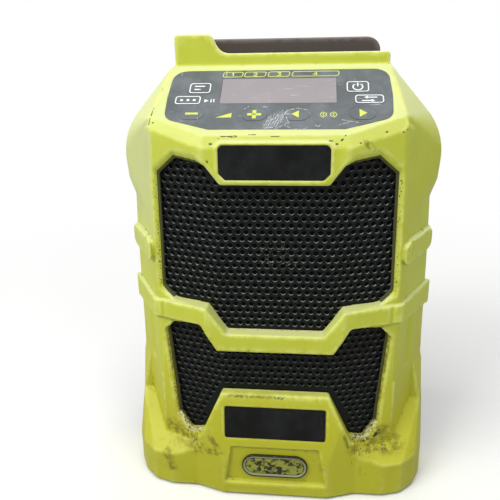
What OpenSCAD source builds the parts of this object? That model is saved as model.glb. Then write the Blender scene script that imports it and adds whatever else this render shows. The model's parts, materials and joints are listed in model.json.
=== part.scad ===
// Compact jobsite radio: a moulded front shell with a bent perforated grille,
// a dark rear shell with a battery bay, a membrane keypad and a loudspeaker.
// Millimetres. +Z is up, the front looks towards -Y, and the origin is on the
// ground under the middle of the housing.

/* [Overall] */
// Depth from the lower boss to the back
depth = 120; // [118:1:122]
// Width across the base flange
base_w = 168.4; // [168:0.1:169]
// Width across the shoulders
shoulder_w = 166; // [165:0.5:167]
// Width of the body at its narrowest, under the shoulders
body_w = 157.2; // [156.5:0.1:157.5]
// Top of the wall in front of the phone slot
wall_top = 231; // [230:0.5:232]
// Top of the block at the slot's left end
block_top = 240.4; // [239.5:0.1:241]
// Height of the housing's underside above the ground
ground_gap = 1; // [0.8:0.1:1.2]

/* [Shell] */
// Wall thickness of both shells
wall = 3; // [2.6:0.1:3.2]
// Depth of the grille behind the front face
recess = 5; // [4.8:0.1:5.2]
// How far the cross band stands proud
band_proud = 1.8; // [1.4:0.1:2]
// How far the side ribs stand proud
rib_proud = 2.4; // [1.5:0.1:2.6]

/* [Control panel] */
// Slope of the control panel
panel_tilt = 35.5; // [35:0.1:36]
// Thickness of the printed overlay
overlay_t = 0.5; // [0.4:0.1:0.5]
// Travel of the keys
key_travel = 0.6; // [0.4:0.1:0.6]
// Gap round each key
key_gap = 0.25; // [0.2:0.05:0.3]

/* [Grille] */
// Distance between the holes of the perforated sheet
pitch = 4; // [4:0.5:6]
// Diameter of the holes
hole_d = 2.5; // [1.5:0.1:2.6]
// Thickness of the sheet
sheet_t = 1; // [0.8:0.1:1]
// Angle of the sheet's two wings
grille_bend = 16; // [15.5:0.1:16.5]

/* [Loudspeaker] */
// Height of the loudspeaker's axis
speaker_z = 137; // [135:1:138]
// Outer diameter of the basket
basket_d = 84; // [83:1:85]
// Diameter of the opening behind the cone
cone_d = 72; // [71:1:72]

/* [Rear] */
// Width of the battery bay
bay_w = 90; // [84:1:92]
// Height of the battery bay
bay_h = 84; // [80:1:86]
// Depth of the battery bay
bay_depth = 30; // [26:1:30]
// Radius of the audio jack's bore
jack_r = 1.75; // [1.75:0.01:1.8]

/* [Hidden] */

boss_y = -depth / 2;
face_y = boss_y + 5;
rear_y = depth / 2;
part_y = face_y + 47;
wall_y = part_y - 3.5;
panel_z = 194.2;
panel_slope = tan(panel_tilt);
floor_z = ground_gap;
slot_floor = 210;
plate_y = part_y + 13;
plate_top = 238;
plate_w = 102.8;
grille_y = face_y + recess;
bend_x = 28;
seat_x = 62.2;
panel_wall = 3.6;
panel_drop = panel_wall / cos(panel_tilt);
baffle_y = grille_y + 12;
baffle_t = 3;
basket_y = baffle_y + baffle_t + 0.8;
board_t = 1.6;
eps = 0.01;

lime = "yellowgreen";
dark = "dimgray";
black = "black";

// ---- outlines -------------------------------------------------------------

// The whole outline from its right half, listed from bottom to top.
function both_sides(h) = concat(h, [for (i = [len(h) - 1:-1:0]) [-h[i].x, h[i].y]]);

// Points on an arc.
function arc(c, r, a0, a1, n = 6) = [for (i = [0:n])
  let (a = a0 + (a1 - a0) * i / n) c + r * [cos(a), sin(a)]];

function unit(v) = v / norm(v);

// A vertex of an outline after its two edges have moved outwards by d.
function mitre(p, q, r, d) =
  let (u = unit(q - p), v = unit(r - q), a = [u.y, -u.x], b = [v.y, -v.x])
  q + d * (a + b) / (1 + a * b);

// An anticlockwise outline with every edge moved outwards by d.
function grow(o, d) = let (n = len(o)) [for (i = [0:n - 1])
  mitre(o[(i + n - 1) % n], o[i], o[(i + 1) % n], d)];

// True where point p lies inside outline o.
function inside(p, o) = let (n = len(o), hits = [for (i = [0:n - 1])
  let (a = o[i], b = o[(i + 1) % n])
  if ((a.y > p.y) != (b.y > p.y) && p.x < (b.x - a.x) * (p.y - a.y) / (b.y - a.y) + a.x) 1])
  len(hits) % 2 == 1;

// Seen from above: flat centre, swept wings, a sharp crease and flared sides.
crease_x = 62.5;
side_turn = atan((86.5 - crease_x) / (part_y + 8.5 - face_y - 11));
crease_strip = 3;
body_plan = both_sides([[34, face_y], [crease_x, face_y + 11], [86.5, part_y + 8.5]]);

// Seen from the front: the flanks widen towards the base.
body_front = both_sides([[body_w / 2 + 3, floor_z], [body_w / 2 + 3, 62], [body_w / 2 + 2.2, 88],
  [body_w / 2 + 1.3, 128], [body_w / 2, 160], [body_w / 2 - 0.5, 186], [61, 199.5], [55, 225]]);

// Seen from the side: upright face, edge bevel, sloping panel, parting plane.
body_side = [[face_y, floor_z], [part_y, floor_z], [part_y, panel_height(part_y)],
  [face_y + 2.8, panel_height(face_y + 2.8)], [face_y, panel_z - 3.7]];

function panel_height(y) = panel_z + (y - face_y) * panel_slope;

// The bent wall behind the front face, where the grille sheets sit.
function bent_y(x) = grille_y + max(0, x - bend_x) * tan(grille_bend);

upper_opening = both_sides([[24.5, 96.7], [34.6, 110.2], [54, 110.6], [60.2, 117],
  [59.2, 178.6], [49.7, 186.2], [33.8, 183], [26.4, 173.1]]);
lower_opening = both_sides([[29.3, 62.2], [41.5, 34.5], [48.7, 32.6], [54.4, 41.2],
  [59, 95.7], [55.5, 99.6], [38.9, 100.7], [30.3, 86.5]]);
cross_band = both_sides([[30.3, 86.5], [38.9, 100.7], [62, 100.7], [83.2, 97], [83.2, 110.4],
  [34.6, 110.4], [24.5, 96.7]]);
lower_boss = both_sides([[43, floor_z], [42.5, 34], [29.3, 63.5]]);

badge_outline = both_sides([[22.7, 175.8], [25.7, 178.8], [25.7, 190.3], [24.2, 191.8]]);
overlay_outline = [for (p = both_sides(concat([[31.5, 7.3]],
  arc([47.2, 19.3], 6.4, -68, 0), [[54, 30]], arc([46.2, 42.2], 7.2, 4, 90)))) p + [0.5, 0]];

// ---- placing --------------------------------------------------------------

// An outline seen from above, from z0 to z1.
module from_above(o, z0, z1) translate([0, 0, z0]) linear_extrude(z1 - z0) polygon(o);

// An outline seen from the front, from y0 back to y1.
module from_front(o, y0, y1) in_front(y0, y1) polygon(o);

module in_front(y0, y1) translate([0, y1, 0]) rotate([90, 0, 0]) linear_extrude(y1 - y0)
  children();

// An outline of Y and Z, w wide and centred on the middle plane.
module from_side(o, w) translate([-w / 2, 0, 0]) rotate([90, 0, 90]) linear_extrude(w)
  polygon(o);

module mirrored() {
  children();
  mirror([1, 0, 0]) children();
}

// On the control panel: x across, y up the slope from its front edge, z out.
module on_panel() translate([0, face_y, panel_z]) rotate([panel_tilt, 0, 0]) children();

// On the lower boss, whose face leans back as it rises.
boss_tilt = 5.86;
module on_boss() translate([0, boss_y + 4, 61]) rotate([90 - boss_tilt, 0, 0]) children();

// A round bar along Y from y0 to y1.
module bar_y(x, z, r, y0, y1) translate([x, y1, z]) rotate([90, 0, 0])
  cylinder(r = r, h = y1 - y0, $fn = 48);

// A profile of radius and distance along the loudspeaker's axis, turned about it.
module turned(profile) translate([0, 0, speaker_z]) rotate([-90, 0, 0])
  rotate_extrude($fn = 96) polygon(profile);

module rounded_box(w, h, r) {
  square([w - 2 * r, h], center = true);
  square([w, h - 2 * r], center = true);
  for (x = [-1, 1], y = [-1, 1])
    translate([x * (w / 2 - r), y * (h / 2 - r)]) circle(r, $fn = 32);
}

module stadium(w, h) rounded_box(w, h, h / 2 - eps);

// ---- front shell ----------------------------------------------------------

// The rear section of a shoulder: a straight slope, then a round outer edge.
function shoulder_section(d) = let (x = shoulder_w / 2 - d)
  concat([[50, 159 + d], [x - 4.2, 158.5 + d], [x - 2.8, 162.5 + d], [x - 0.9, 168 + d]],
    arc([shoulder_w / 2 - 34, 180], 34 - d, 0, 45), [[55.8 - d / 2, 224 - d]]);

// A shoulder swells from the front corner to its rear section.
module shoulder(d) hull() {
  from_front(shoulder_section(d), wall_y - 0.5, part_y);
  from_above(grow(crease_slice(crease_x - 0.4), -d / 2), 150 + d, 151 + d);
  from_above(grow(crease_slice(crease_x - 2.2), -d / 2), 202 - d, 203 - d);
}
// A slice through its front end, which begins a narrow strip behind the crease.
function crease_slice(x) = let (y = face_y + 11 - (crease_x - x) * 0.386,
  p = [x - 0.7, y + 0.4] + crease_strip * [sin(side_turn), cos(side_turn)])
  [p - [5, 0.6], p, p + [0, 6], p + [-5, 6]];

// The plan carried upwards: above the rib the creases lean inwards.
module body_prism() hull() {
  from_above(body_plan, floor_z, 142);
  from_above(both_sides([[34, face_y], [crease_x - 3, face_y + 9.84],
    [83.9, part_y + 8.5]]), 229, 230);
}

// What is cut off along the upper edge of each wing; the middle has its own bevel.
wing_turn = atan(11 / (crease_x - 34));
wing_pitch = atan(sin(wing_turn) * panel_slope);
module wing_bevel() translate([34, face_y, panel_z]) rotate([0, -wing_pitch, wing_turn])
  translate([-4, 0, 0]) rotate([90, 0, 90]) linear_extrude(36)
    polygon([[-6, -4.3], [-0.3, -4.3], [2.8, 1.8], [2.8, 9], [-6, 9]]);

// The flange round the foot of the housing: upright edge, then a sloping ledge.
base_corners = [[57, face_y + 6], [65, face_y + 8.5], [71, face_y + 14.5],
  [75, face_y + 23], [base_w / 2 - 6, part_y - 6]];
module base_slice(r, z0, z1) translate([0, 0, z0]) linear_extrude(z1 - z0)
  for (s = [-1, 1], p = base_corners) translate([s * p.x, p.y]) circle(r, $fn = 32);

module base_form(d) intersection() {
  union() {
    hull() {
      base_slice(6 - d, floor_z, 20);
      from_above(grow(body_plan, -d), 28, 28.5 - d / 6);
      flare_slice(80.6, 84.3, d, 42);
    }
    hull() {
      flare_slice(80.6, 84.3, d, 42);
      flare_slice(75.5, 82.8, d, 65);
    }
  }
  translate([-100, -100, 0]) cube([200, 100 + part_y, 70]);
}
module flare_slice(x0, x1, d, z) from_above(grow(both_sides([[x0, face_y + 34],
  [x1, part_y + 2]]), -d), z - 0.5 - d, z - d);

module boss_form() intersection() {
  from_front(lower_boss, boss_y, grille_y);
  from_side([[boss_y, floor_z], [grille_y, floor_z], [grille_y, 63.5],
    [boss_y + 6, 63.5], [boss_y + 4, 61], [boss_y, 22]], 90);
  from_above(both_sides([[28, boss_y], [43.2, face_y], [43.2, grille_y + 8]]), 0, 70);
}

module band_form() intersection() {
  from_front(cross_band, face_y - band_proud, part_y);
  from_above(grow(body_plan, band_proud), 80, 115);
}

module side_rib() intersection() {
  in_front(face_y, part_y) translate([72.3, 136.8]) rounded_box(18.4, 11.6, 3.5);
  from_above(grow(body_plan, rib_proud), 130, 146);
}

// The wall in front of the phone slot, with a taller block at its left end.
module slot_wall() from_front(concat([[-53.2, 206], [54.7, 206]],
  arc([53.2, wall_top - 1.5], 1.5, 0, 90, 3), arc([-25.5, wall_top + 7], 7, 270, 205),
  arc([-36.6, block_top - 3.5], 3.5, 25, 90),
  arc([-51.7, block_top - 1.5], 1.5, 90, 180, 3)), wall_y, part_y);

// A shallow hollow down the flank under the cross band, round at its foot.
module flank_hollow() translate([77.5, face_y + 22.8, 71.4]) {
  cylinder(r = 9, h = 29.3, $fn = 48);
  sphere(r = 9, $fn = 48);
}

screw_points = [[67, 34], [67, 122], [68, 178]];
module at_screws() for (p = screw_points, s = [-1, 1]) translate([s * p.x, 0, p.y])
  children();

module front_form() {
  difference() {
    union() {
      intersection() {
        from_front(body_front, face_y, part_y);
        body_prism();
        from_side(body_side, 200);
      }
      intersection() {
        mirrored() shoulder(0);
        from_side(body_side, 200);
      }
      base_form(0);
    }
    mirrored() {
      flank_hollow();
      wing_bevel();
    }
  }
  boss_form();
  band_form();
  mirrored() side_rib();
  slot_wall();
  from_front(grow(badge_outline, 1.5), face_y - 0.4, grille_y);
}

// The room inside the front shell, closed in front by the bent grille seat.
module front_cavity() {
  intersection() {
    from_front(grow(body_front, -wall), grille_y, part_y + 1);
    from_above(both_sides([[bend_x, grille_y], [seat_x, bent_y(seat_x)],
      [seat_x + 1.4, bent_y(seat_x) + 2.6], [77, part_y + 1]]), floor_z + wall, 230);
    from_side([[grille_y, floor_z + wall], [part_y + 1, floor_z + wall],
      [part_y + 1, slot_floor - 4], [wall_y - 0.5, slot_floor - 4],
      [wall_y - 0.5, panel_height(wall_y - 0.5) - panel_drop],
      [grille_y, panel_height(grille_y) - panel_drop]], 200);
  }
  intersection() {
    union() {
      mirrored() shoulder(wall);
      base_form(wall);
    }
    from_side([[face_y + wall, floor_z + wall], [part_y + 1, floor_z + wall],
      [part_y + 1, slot_floor - 4], [face_y + 14, slot_floor - 4], [face_y + 14, 153],
      [face_y + 14, 39], [face_y + wall, 26]], 200);
  }
}

// A hole through the front face whose walls draw in with depth.
module drafted_hole(o, zc) translate([0, face_y - 5, zc]) rotate([-90, 0, 0])
  mirror([0, 1, 0]) linear_extrude(22, scale = 0.93, slices = 1)
    polygon([for (p = o) p - [0, zc]]);

pocket_floor = boss_y + 2.2;

module front_housing() color(lime) difference() {
  front_form();
  difference() {
    front_cavity();
    at_screws() bar_y(0, 0, 5, face_y + 8, part_y + 2);
    for (p = baffle_points) bar_y(p.x, p.y, 3.2, face_y + 2, baffle_y);
    on_panel() for (p = board_points) translate([p.x, p.y, board_z]) cylinder(r = 2.6, h = 8);
  }
  drafted_hole(grow(upper_opening, 0.6), 142);
  drafted_hole(grow(lower_opening, 0.6), 66);
  from_front(grow(badge_outline, 0.15), face_y - 3, face_y + 1);
  from_front(both_sides([[27, 8.5], [23.5, 31]]), boss_y - 5, pocket_floor);
  on_boss() translate([0, -15.7, -1.1]) linear_extrude(5) rounded_box(53.5, 18.2, 1);
  on_panel() {
    translate([0, 0, -overlay_t - 0.1]) linear_extrude(5) polygon(grow(overlay_outline, 0.2));
    translate([0.5, 34, -9]) linear_extrude(12) square([56.6, 19], center = true);
    translate([0, 0, -9]) linear_extrude(12) all_key_shapes(0.5);
    for (p = board_points) translate([p.x, p.y, board_z - 1])
      cylinder(r = 0.9, h = -board_z - 3, $fn = 24);
  }
  at_screws() bar_y(0, 0, 1.75, part_y - 22, part_y + 3);
  for (p = baffle_points) bar_y(p.x, p.y, 1.3, baffle_y - 8, baffle_y + 1);
  for (p = front_feet) translate([p.x, p.y, 0]) cylinder(r = 7.2, h = floor_z + 2, $fn = 48);
}

baffle_points = [[46, 105.5], [-46, 105.5], [20, 181.5], [-20, 181.5], [17, 30], [-17, 30]];
front_feet = [[58, face_y + 20], [-58, face_y + 20]];
rear_feet = [[58, rear_y - 16], [-58, rear_y - 16]];

// ---- rear shell -----------------------------------------------------------

// Behind the slot a raised plate with round corners slopes down to the back.
module rear_form(d) intersection() {
  union() {
    from_front(grow(both_sides([[base_w / 2 - 1, floor_z], [base_w / 2 - 1, 20],
      [base_w / 2 - 2.5, 46], [body_w / 2 + 0.5, 70], [body_w / 2 - 2, 158], [60, 200],
      [50, 214]]), -d), part_y, rear_y);
    mirrored() from_front(shoulder_section(1.2 + d), part_y, rear_y);
    from_front(grow(both_sides(concat([[plate_w / 2, 100]],
      arc([plate_w / 2 - 7, plate_top - 7], 7, 0, 90))), -d), plate_y, rear_y);
  }
  from_above(grow(both_sides([[rear_w / 2, part_y - 20], [rear_w / 2, rear_y - 24],
    [rear_w / 2 - 2, rear_y - 12], [rear_w / 2 - 7, rear_y]]), -d), floor_z, 250);
  from_side(grow([[part_y - 20, floor_z], [rear_y, floor_z], [rear_y, 212],
    [rear_y - 8, 221], [plate_y + 9, 232], [plate_y + 4, plate_top],
    [part_y - 20, plate_top + 20]], -d), 200);
}

rear_w = shoulder_w - 3;
slot_w = 98;
module slot_room(d) translate([-slot_w / 2 - d, part_y - 1, slot_floor - d])
  cube([slot_w + 2 * d, plate_y - part_y + 1 + d, 60]);

bay_z0 = 8;
bay_y = rear_y - bay_depth;
stem_w = 44;
stem_h = 30;
stem_z = bay_z0 + bay_h / 2;

module rear_housing() color(dark) {
  difference() {
    rear_form(0);
    slot_room(0);
    difference() {
      intersection() {
        rear_form(wall);
        translate([-100, part_y - 1, floor_z + wall]) cube([200, 200, 250]);
      }
      slot_room(wall);
      translate([-bay_w / 2 - wall, bay_y - wall, 0])
        cube([bay_w + 2 * wall, 100, bay_z0 + bay_h + wall]);
      at_screws() bar_y(0, 0, 6.2, part_y, rear_y);
      for (p = main_points) bar_y(p.x, p.y, 3.4, board_y + board_t, rear_y);
      for (x = [-30, 30]) translate([x - 1.5, plate_y + wall - 1, slot_floor - 2])
        cube([3, 14, 12]);
      translate([jack_x - wall, jack_y - 10, jack_z - 13]) cube([10, 20, 26]);
    }
    translate([-bay_w / 2, bay_y, bay_z0]) cube([bay_w, bay_depth + 1, bay_h]);
    translate([-stem_w / 2, bay_y - 4, stem_z - stem_h / 2]) cube([stem_w, 5, stem_h]);
    at_screws() {
      bar_y(0, 0, 4, part_y + 5, rear_y + 1);
      bar_y(0, 0, 2, part_y - 1, part_y + 6);
    }
    for (p = main_points) bar_y(p.x, p.y, 1.3, board_y, rear_y - wall - 1);
    for (p = rear_feet) translate([p.x, p.y, 0]) cylinder(r = 7.2, h = floor_z + 2, $fn = 48);
    translate([-36, ferrite_y, ferrite_z]) rotate([0, 90, 0])
      cylinder(r = 4.05, h = 72, $fn = 48);
    translate([jack_x - wall - 1, jack_y, jack_z]) rotate([0, 90, 0])
      cylinder(r = 4.05, h = 20, $fn = 48);
    translate([jack_x, jack_y - 7.4, jack_z - 10.4]) cube([20, 14.8, 21.4]);
    bar_y(hinge_x, hinge_z, 0.62, jack_y - 9.1, jack_y + 9.1);
  }
  for (s = [-1, 1], z = [14, 86]) translate([s * (bay_w / 2 - 3), bay_y + 6, z - 2])
    translate([-3.01, 0, 0]) cube([6.02, bay_depth - 10, 4]);
}

// ---- grille ---------------------------------------------------------------

row = pitch * sin(60);

// The holes of a perforated sheet whose centres lie well inside an outline.
module hole_field(o) for (j = [-30:60], i = [-40:40])
  let (p = [(i + (j % 2 == 0 ? 0 : 0.5)) * pitch, 90 + j * row])
  if (inside(p, o)) translate(p) circle(d = hole_d, $fn = 24);

// A part of an outline to the right of the bend, drawn flat on the wing.
function on_wing(o) = [for (p = o) [(p.x - bend_x) / cos(grille_bend), p.y]];

module flat_sheet(o, holes, x0, x1) difference() {
  intersection() {
    polygon(o);
    translate([x0, 0]) square([x1 - x0, 220]);
  }
  intersection() {
    hole_field(holes);
    translate([x0 - 2, 0]) square([x1 - x0 + 4, 220]);
  }
}

module wing_sheet(o, holes) translate([bend_x, grille_y, 0]) rotate([0, 0, grille_bend])
  translate([0, sheet_t, 0]) rotate([90, 0, 0]) linear_extrude(sheet_t)
    flat_sheet(on_wing(o), on_wing(holes), 0, 60);

module bent_sheet(outline) {
  sheet = grow(outline, 1.6);
  holes = grow(outline, -0.9);
  in_front(grille_y, grille_y + sheet_t) flat_sheet(sheet, holes, -bend_x, bend_x);
  mirrored() wing_sheet(sheet, holes);
}

module upper_grille() color(black) bent_sheet(upper_opening);
module lower_grille() color(black) bent_sheet(lower_opening);

// Thin black cloth behind both sheets, bent as they are.
module grille_cloth() color(black) intersection() {
  y = grille_y + sheet_t + 0.1;
  wing_rise = (60 - bend_x) * tan(grille_bend);
  from_above([[-60, y + wing_rise], [-bend_x, y], [bend_x, y], [60, y + wing_rise],
    [60, y + wing_rise + 0.8], [bend_x - 0.1, y + 0.8], [0.1 - bend_x, y + 0.8],
    [-60, y + wing_rise + 0.8]], 20, 200);
  difference() {
    from_front(both_sides([[56, 30], [58.5, 50], [58.5, 180], [50, 188]]), -80, 0);
    for (p = baffle_points) bar_y(p.x, p.y, 4, -80, 0);
  }
}

// ---- badges and control panel ---------------------------------------------

module upper_badge() color(black) from_front(badge_outline, face_y - 0.2, face_y + 1);

module lower_badge() color(black) on_boss() translate([0, -15.7, -1.1]) linear_extrude(1.2)
  rounded_box(53.2, 17.9, 1);

module oval_badge() color("silver") {
  in_front(pocket_floor - 1, pocket_floor) translate([0, 19.3]) stadium(35.4, 13.6);
  in_front(pocket_floor - 1.5, pocket_floor - 0.5) translate([0, 19.3]) difference() {
    stadium(35.4, 13.6);
    stadium(32.8, 11);
  }
}

// Name, centre across, centre up the slope, width, height and shape of each key.
KEYS = [["display_key", -38, 36.2, 10.8, 7.6, "box"], ["preset_key", -43, 27.5, 12.6, 6, "box"],
  ["volume_down_key", -39.9, 17.8, 12, 8, "stadium"],
  ["volume_up_key", -10, 17.1, 12, 8.4, "stadium"],
  ["scan_back_key", 9.8, 17.1, 12, 8.4, "stadium"],
  ["scan_forward_key", 40.2, 17.6, 12, 8.4, "stadium"],
  ["power_key", 38.4, 36.2, 10.8, 7.8, "box"], ["mode_key", 43.6, 27.3, 13.6, 6, "box"]];

module key_shape(k, d) translate([k[1], k[2]])
  if (k[5] == "box") rounded_box(k[3] + 2 * d, k[4] + 2 * d, 1.4 + d);
  else stadium(k[3] + 2 * d, k[4] + 2 * d);

module all_key_shapes(d) for (k = KEYS) key_shape(k, d);

key_top = 0.05;
key_foot = panel_wall + 0.6;
module key(name) color("slategray") for (k = KEYS) if (k[0] == name) on_panel() {
  translate([0, 0, -overlay_t - 0.05]) linear_extrude(key_top + overlay_t + 0.05)
    key_shape(k, 0);
  translate([0, 0, -key_foot]) linear_extrude(key_foot - overlay_t) key_shape(k, -0.4);
}

module control_overlay() color("slategray") on_panel() translate([0, 0, -overlay_t - 0.1])
  linear_extrude(overlay_t) difference() {
    polygon(overlay_outline);
    all_key_shapes(key_gap);
    translate([0.5, 34]) square([55.9, 18.3], center = true);
  }

module display_window() color("rosybrown") on_panel() translate([0.5, 34, -1.9])
  linear_extrude(1.8) square([55.6, 18], center = true);

module display_module() color("gainsboro") on_panel() translate([0.5, 34, 0]) {
  translate([0, 0, -5.4]) linear_extrude(3.5) square([54, 17], center = true);
  translate([0, -3, board_z]) linear_extrude(-5.2 - board_z) square([60, 9], center = true);
}

dome_z = -key_foot - key_travel - 0.5;
board_z = -10;

// Rubber sheet with a dome under each key.
module key_dome_sheet() color("whitesmoke") on_panel() {
  translate([0, 0, board_z]) linear_extrude(1) difference() {
    translate([-53, 10]) square([106, 29.5]);
    translate([-30.5, 24]) square([62, 20]);
    for (p = board_points) translate(p) circle(3.2, $fn = 32);
  }
  for (k = KEYS) translate([k[1], k[2], board_z + 0.5])
    cylinder(r1 = 3, r2 = 2.2, h = dome_z - board_z - 0.6, $fn = 32);
}

board_points = [[-50.5, 13], [50.5, 13], [-50.5, 36.5], [50.5, 36.5], [0, 11]];
module control_board() color("darkgreen") on_panel() translate([0, 0, board_z - board_t])
  linear_extrude(board_t) difference() {
    translate([-53, 8.5]) square([106, 31.5]);
    for (p = board_points) translate(p) circle(1.6, $fn = 24);
  }

// ---- loudspeaker ----------------------------------------------------------

// Black moulding behind the grille that carries the loudspeaker and the port.
port_x = 0;
port_z = 66;
module speaker_baffle() color(black) in_front(baffle_y, baffle_y + baffle_t) difference() {
  union() {
    translate([-59, 12]) square([118, 148]);
    translate([-45, 150]) square([90, 37]);
  }
  translate([0, speaker_z]) circle(d = cone_d, $fn = 96);
  translate([port_x, port_z]) circle(r = 15.3, $fn = 64);
  for (p = baffle_points) translate(p) circle(1.7, $fn = 24);
  for (p = speaker_points) translate(p) circle(1.5, $fn = 24);
}

speaker_points = [for (a = [45:90:315])
  [0, speaker_z] + (basket_d / 2 - 2.6) * [cos(a), sin(a)]];

module speaker_gasket() color("darkslategray") in_front(baffle_y + baffle_t, basket_y)
  difference() {
    translate([0, speaker_z]) circle(d = basket_d, $fn = 96);
    translate([0, speaker_z]) circle(d = cone_d, $fn = 96);
    for (p = speaker_points) translate(p) circle(1.5, $fn = 24);
  }

plate_front = basket_y + 27;
module speaker_basket() color("gray") difference() {
  turned([[cone_d / 2, basket_y], [basket_d / 2, basket_y], [basket_d / 2, basket_y + 1.2],
    [cone_d / 2 + 1.2, basket_y + 1.2], [31, plate_front - 8], [31, plate_front],
    [12, plate_front], [12, plate_front - 1.5], [29.5, plate_front - 1.5],
    [29.5, plate_front - 8.5], [cone_d / 2, basket_y + 1.4]]);
  for (a = [0:90:270]) translate([0, 0, speaker_z]) rotate([0, a, 0])
    translate([29, basket_y + 4, -9]) cube([20, 12, 18]);
  for (p = speaker_points) bar_y(p.x, p.y, 1.5, basket_y - 1, basket_y + 1.5);
}

// Half-roll rubber edge between the basket and the cone.
roll_r = cone_d / 2 - 2.2;
rim_r = cone_d / 2 - 5;
module speaker_surround() color("black") turned(concat([[rim_r, basket_y - 0.4]],
  arc([roll_r, basket_y - 0.4], 1.9, 180, 360, 8), [[cone_d / 2, basket_y - 0.4],
  [cone_d / 2, basket_y + 0.6], [cone_d / 2 - 0.4, basket_y + 0.6]],
  arc([roll_r, basket_y], 1.6, 360, 180, 8), [[rim_r, basket_y]]));

coil_y = basket_y + 17;
module speaker_cone() color("black") turned([[9, coil_y], [rim_r + 0.6, basket_y],
  [rim_r + 0.9, basket_y + 0.5], [9, coil_y + 0.7]]);

module dust_cap() color("black") turned(concat([[0, coil_y - 7.7]],
  arc([0, coil_y + 4.7], 12.4, -88, -29), arc([0, coil_y + 5.3], 12.4, -31.2, -88),
  [[0, coil_y - 7.1]]));

module voice_coil() color("chocolate") turned([[8.65, coil_y - 0.5], [9, coil_y - 0.5],
  [9, plate_front + 2], [8.65, plate_front + 2]]);

module spider() color("darkkhaki") turned([[9.1, coil_y + 4], [14, coil_y + 3.3],
  [19, coil_y + 4.3], [24, coil_y + 3.3], [29.5, coil_y + 4], [29.5, coil_y + 4.4],
  [24, coil_y + 3.7], [19, coil_y + 4.7], [14, coil_y + 3.7], [9.1, coil_y + 4.4]]);

module top_plate() color("gray") turned([[9.35, plate_front], [28, plate_front],
  [28, plate_front + 3], [9.35, plate_front + 3]]);
module speaker_magnet() color("darkslategray") turned([[13, plate_front + 3],
  [30, plate_front + 3], [30, plate_front + 14], [13, plate_front + 14]]);
module magnet_yoke() color("gray") turned([[0, plate_front - 0.5], [8.3, plate_front - 0.5],
  [8.3, plate_front + 14], [28, plate_front + 14], [28, plate_front + 17.5],
  [0, plate_front + 17.5]]);

// Tuned tube behind the lower grille.
module bass_port() color(black) translate([port_x, baffle_y, port_z]) rotate([-90, 0, 0]) {
  difference() {
    cylinder(r = 15.2, h = 25, $fn = 64);
    translate([0, 0, -1]) cylinder(r = 13.2, h = 40, $fn = 64);
  }
  translate([0, 0, baffle_t]) difference() {
    cylinder(r = 18, h = 1.6, $fn = 64);
    translate([0, 0, -1]) cylinder(r = 15, h = 5, $fn = 64);
  }
}

// ---- electronics ----------------------------------------------------------

board_y = rear_y - 16;
module main_board() color("darkgreen") in_front(board_y, board_y + board_t) difference() {
  translate([-52, 106]) square([104, 84]);
  for (p = main_points) translate(p) circle(1.7, $fn = 24);
}
main_points = [[48, 110], [-48, 110], [48, 186], [-48, 186]];

// Finned block on the amplifier chip.
module amplifier_heatsink() color("silver") {
  translate([-16, board_y - 3, 112]) cube([32, 3, 24]);
  for (i = [0:6]) translate([-16 + i * 5.05, board_y - 11, 112]) cube([1.7, 8.5, 24]);
}

ferrite_z = slot_floor + 4;
ferrite_y = plate_y + wall + 6;
module ferrite_antenna() color("dimgray") translate([-34, ferrite_y, ferrite_z])
  rotate([0, 90, 0]) cylinder(r = 4, h = 68, $fn = 48);
module antenna_coil() color("chocolate") translate([-24, ferrite_y, ferrite_z])
  rotate([0, 90, 0]) difference() {
    cylinder(r = 5.2, h = 16, $fn = 48);
    translate([0, 0, -1]) cylinder(r = 4.05, h = 18, $fn = 48);
  }

// Tub that takes the stem of the battery pack.
stem_depth = 30;
stem_y = bay_y - wall - stem_depth;
module battery_socket() color(black) difference() {
  union() {
    translate([-stem_w / 2 - 2, stem_y, stem_z - stem_h / 2 - 2])
      cube([stem_w + 4, stem_depth, stem_h + 4]);
    translate([-stem_w / 2 + 0.2, bay_y - wall - 1, stem_z - stem_h / 2 + 0.2])
      cube([stem_w - 0.4, wall + 1, stem_h - 0.4]);
  }
  translate([-stem_w / 2 + 2, stem_y + 2, stem_z - stem_h / 2 + 2])
    cube([stem_w - 4, stem_depth + 10, stem_h - 4]);
  for (x = [-12, 0, 12]) translate([x - 1.1, stem_y - 1, stem_z - 5.1])
    cube([2.2, 5, 10.2]);
}
module battery_terminals() color("gold") for (x = [-12, 0, 12])
  translate([x - 1, stem_y - 6, stem_z - 5]) cube([2, 20, 10]);

// Audio jack in the right-hand wall, under its rubber cover.
jack_x = 73.2;
jack_y = part_y + 22;
jack_z = 146;
hinge_x = jack_x + 1.2;
hinge_z = jack_z + 9;
module audio_jack() color(black) translate([0, jack_y, jack_z]) rotate([0, 90, 0])
  difference() {
    union() {
      translate([-6, -5.5, jack_x - 20]) cube([12, 11, 20 - wall]);
      translate([0, 0, jack_x - wall - 1]) cylinder(r = 4, h = wall + 1, $fn = 48);
    }
    translate([0, 0, jack_x - 16]) cylinder(r = jack_r, h = 20, $fn = 48);
  }

// Rubber flap over the jack; it turns on a pin along its top edge.
module port_cover() color(black) difference() {
  union() {
    translate([jack_x + 0.3, jack_y - 7, jack_z - 10]) cube([1.7, 14, 19]);
    bar_y(hinge_x, hinge_z, 1.2, jack_y - 7, jack_y + 7);
  }
  bar_y(hinge_x, hinge_z, 0.67, jack_y - 8, jack_y + 8);
}
module cover_pin() color("silver") bar_y(hinge_x, hinge_z, 0.6, jack_y - 9, jack_y + 9);

module phone_slot_pad() color(black) translate([-slot_w / 2 + 0.5, part_y + 0.5, slot_floor])
  cube([slot_w - 1, plate_y - part_y - 1, 1.5]);

// ---- feet and screws --------------------------------------------------------

module rubber_feet() color(black) for (p = concat(front_feet, rear_feet))
  translate([p.x, p.y, 0]) {
    cylinder(r1 = 6, r2 = 7, h = 1, $fn = 48);
    translate([0, 0, 1]) cylinder(r = 7, h = floor_z + 1, $fn = 48);
  }

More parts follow.
